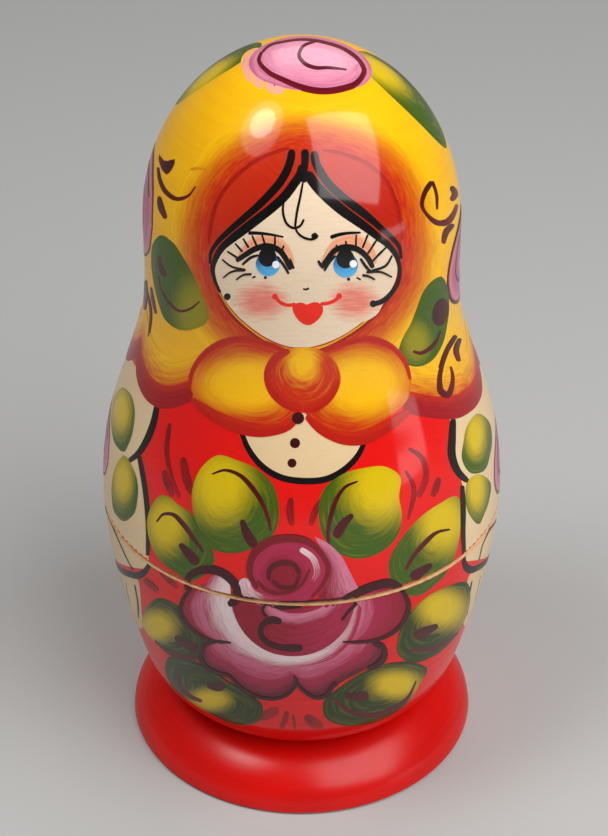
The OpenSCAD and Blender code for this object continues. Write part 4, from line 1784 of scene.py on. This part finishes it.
def paint_mesh(name, coats, doll):
    """One mesh of coats on a doll, with their colours and brush places on it."""
    spans = [coat.brush.reshape(-1, 2) for coat in coats]
    places, scale = packed([tuple(np.ptp(span, axis=0) + 2 * PACK_ROOM) for span in spans])
    points, corners, counts, strokes, bakes, values = [], [], [], [], [], []
    first = 0
    for number, (coat, span, place) in enumerate(zip(coats, spans, places)):
        n, m = coat.mix.shape
        kept = (n - 1) * m if coat.loop else n * m
        spots, sizes = coat_faces(coat)
        corners.append(first + spots % kept)
        counts.extend(sizes)
        strokes.append(span[spots] + STROKE_SHIFT * number)
        bakes.append((span[spots] - span.min(0) + place + PACK_ROOM) * scale)
        points.append(coat_points(coat, doll)[:kept])
        values.append((np.tile([*coat.a, 1], (kept, 1)), np.tile([*coat.b, 1], (kept, 1)),
                       coat.mix.ravel()[:kept], np.full(kept, coat.streak)))
        first += kept
    mesh = new_mesh(name, np.vstack(points), np.concatenate(corners), np.array(counts))
    give_uv(mesh, "OFBake", np.vstack(bakes))
    give_uv(mesh, "Stroke", np.vstack(strokes))
    for label, kind, column in (("paint_a", "FLOAT_COLOR", 0), ("paint_b", "FLOAT_COLOR", 1),
                                ("paint_mix", "FLOAT", 2), ("paint_streak", "FLOAT", 3)):
        give(mesh, label, kind, np.concatenate([v[column] for v in values]))
    return mesh


def cut_level(mesh, doll, z, above):
    """Keeps what lies above or below a height, and sinks the cut edge into the wood."""
    bm = bmesh.new()
    bm.from_mesh(mesh)
    whole = bm.verts[:] + bm.edges[:] + bm.faces[:]
    cut = bmesh.ops.bisect_plane(bm, geom=whole, plane_co=(0, 0, z * MM), plane_no=(0, 0, 1),
                                 clear_inner=above, clear_outer=not above)
    r = (np.interp(z, doll.outline[:, 1], doll.outline[:, 0]) - SINK) * MM
    for vertex in cut["geom_cut"]:
        if isinstance(vertex, bmesh.types.BMVert):
            vertex.co.xy = vertex.co.xy.normalized() * r
    bm.to_mesh(mesh)
    bm.free()


def smooth_normals(mesh, doll):
    """Coats shade like the turned surface that they lie on."""
    points = places_of(mesh)
    out = on_doll(shares_of(points, doll), np.arctan2(points[:, 0], -points[:, 1]), doll)[1]
    mesh.shade_smooth()
    mesh.normals_split_custom_set_from_vertices(out.tolist())


SEAM_ROOM = {"lower": 0.08, "upper": 0.03}


def build_paint(number, doll, node, group):
    """The coats of one group that lie on one half of a doll, as one piece."""
    above = node.endswith("upper")
    whole = len(doll.halves) == 1
    coats = [c for c in COATS if c.group == group and number in c.dolls]
    if not whole:
        coats = [c for c in coats if (c.share.max() > 1 if above else c.share.min() < 1)]
    if not coats:
        return
    name = f"{node}_{group}"
    mesh = paint_mesh(name, coats, doll)
    if not whole:
        z = doll.seam_high + SEAM_ROOM["upper"] if above else doll.seam_low - SEAM_ROOM["lower"]
        cut_level(mesh, doll, z, above)
    if not mesh.polygons:
        bpy.data.meshes.remove(mesh)
        return
    smooth_normals(mesh, doll)
    new_piece(name, mesh, node, (PAINT,))


GROUPS = list(dict.fromkeys(coat.group for coat in COATS))

for number, doll in enumerate(DOLLS):
    for node, section in doll.halves.items():
        build_shell(doll, node, section)
        for group in GROUPS:
            build_paint(number, doll, node, group)


# Stage, lights and camera; metres from here on

FLOOR_R, FLOOR_RIM = 0.6, 0.5
FLOOR_INNER = 0.3
FLOOR_FLATS = 96
FLOOR_ROUGHNESS = 0.8
BEND_PARTS = 10
FLOOR_COLOUR = (182, 182, 180)
WORLD_LEVEL = 0.12
LAMP_REACH = 0.7

# Lamps by the pixels between which they show in the lacquer: left, top, right and bottom
LAMPS_SEEN = [
    ("key", (251, 110, 275, 138), "ELLIPSE", 9.0),
    ("glow", (244, 104, 282, 156), "ELLIPSE", 2.4),
    ("window", (313, 117, 373, 200), "RECTANGLE", 4.2),
    ("side", (388, 388, 416, 420), "RECTANGLE", 2.4),
]
# A soft lamp behind the doll: its middle and its sides
BACK_LAMP = Vector((0.1, 0.72, 0.72)), Vector((0.6, 0, 0)), Vector((0, -0.3, 0.3))
BACK_RADIANCE = 1.8


def build_floor():
    """A wide pale dish whose rim curves up. From outside, its near wall can be seen through."""
    t = np.linspace(0, math.pi / 2, BEND_PARTS)
    bend = np.column_stack([FLOOR_R + FLOOR_RIM * np.sin(t), FLOOR_RIM * (1 - np.cos(t))])
    line = np.vstack([[0, 0], [FLOOR_INNER, 0], bend])
    vertices, rings = turned(line, FLOOR_FLATS)
    mesh = bpy.data.meshes.new("floor")
    mesh.from_pydata(vertices, [], [face[::-1] for face in turned_faces(line, rings)[0]])
    mesh.shade_smooth()
    material, tree, shader = new_material("pale_floor")
    outside = add(tree, "ShaderNodeNewGeometry").outputs["Backfacing"]
    tree.links.new(worked(tree, "SUBTRACT", 1.0, outside), shader.inputs["Alpha"])
    shader.inputs["Base Color"].default_value = solid(FLOOR_COLOUR)
    shader.inputs["Roughness"].default_value = FLOOR_ROUGHNESS
    mesh.materials.append(material)
    floor = bpy.data.objects.new("floor", mesh)
    bpy.context.scene.collection.objects.link(floor)


def mirrored(pixel):
    """Place on the doll at a pixel, in metres, and the way in which the camera's ray leaves it."""
    spot = PHOTO(np.array([pixel], float))
    share, azimuth = shares_of(spot, OUTER), np.arctan2(spot[:, 0], -spot[:, 1])
    out = on_doll(share, azimuth, OUTER)[1][0]
    way = spot[0] - camera_axes(0)[0]
    way = way / np.linalg.norm(way)
    return Vector(spot[0] * MM), Vector(way - 2 * way.dot(out) * out)


def add_lamp(name, middle, wide, high, shape, radiance):
    """A lamp about a place, that shines on the doll. Wide and high are its sides as vectors."""
    light = bpy.data.lights.new(name, "AREA")
    light.shape = shape
    light.size, light.size_y = wide.length, high.length
    area = wide.length * high.length * (math.pi / 4 if shape == "ELLIPSE" else 1)
    light.energy = radiance * math.pi * area
    back = wide.cross(high).normalized()
    back = back if back.dot(middle) > 0 else -back
    x = wide.normalized()
    lamp = bpy.data.objects.new(name, light)
    lamp.matrix_world = Matrix((x, back.cross(x), back)).transposed().to_4x4()
    lamp.location = middle
    lamp.visible_camera = False
    bpy.context.scene.collection.objects.link(lamp)


def mirrored_lamp(name, left, top, right, bottom, shape, radiance):
    """A lamp that shows in the lacquer between those pixels of the photograph."""
    corners = [mirrored(pixel) for pixel in ((left, top), (right, top), (right, bottom), (left, bottom))]
    spots = [spot + way * LAMP_REACH for spot, way in corners]
    wide = (spots[1] + spots[2] - spots[0] - spots[3]) / 2
    high = (spots[0] + spots[1] - spots[2] - spots[3]) / 2
    add_lamp(name, sum(spots, Vector()) / 4, wide, high, shape, radiance)


def light_studio():
    world = bpy.data.worlds.new("studio")
    world.use_nodes = True
    background = world.node_tree.nodes["Background"]
    background.inputs["Color"].default_value = (1, 1, 1, 1)
    background.inputs["Strength"].default_value = WORLD_LEVEL
    bpy.context.scene.world = world
    for name, box, shape, radiance in LAMPS_SEEN:
        mirrored_lamp(name, *box, shape, radiance)
    add_lamp("back", *BACK_LAMP, "RECTANGLE", BACK_RADIANCE)


def photo_camera():
    place, ahead, right, down = camera_axes(0)
    lens = bpy.data.cameras.new("photo_camera")
    lens.sensor_width = SENSOR_WIDTH
    lens.lens = FOCAL_PX * lens.sensor_width / PHOTO_H
    lens.shift_x = (PHOTO_W / 2 - AXIS_PX) / PHOTO_H
    lens.clip_start = CLIP_START
    camera = bpy.data.objects.new("photo_camera", lens)
    camera.location = Vector(place * MM)
    camera.rotation_euler = Vector(ahead).to_track_quat("-Z", "Y").to_euler()
    bpy.context.scene.collection.objects.link(camera)
    bpy.context.scene.camera = camera


build_floor()
light_studio()
photo_camera()
bpy.context.scene.view_settings.view_transform = "Standard"
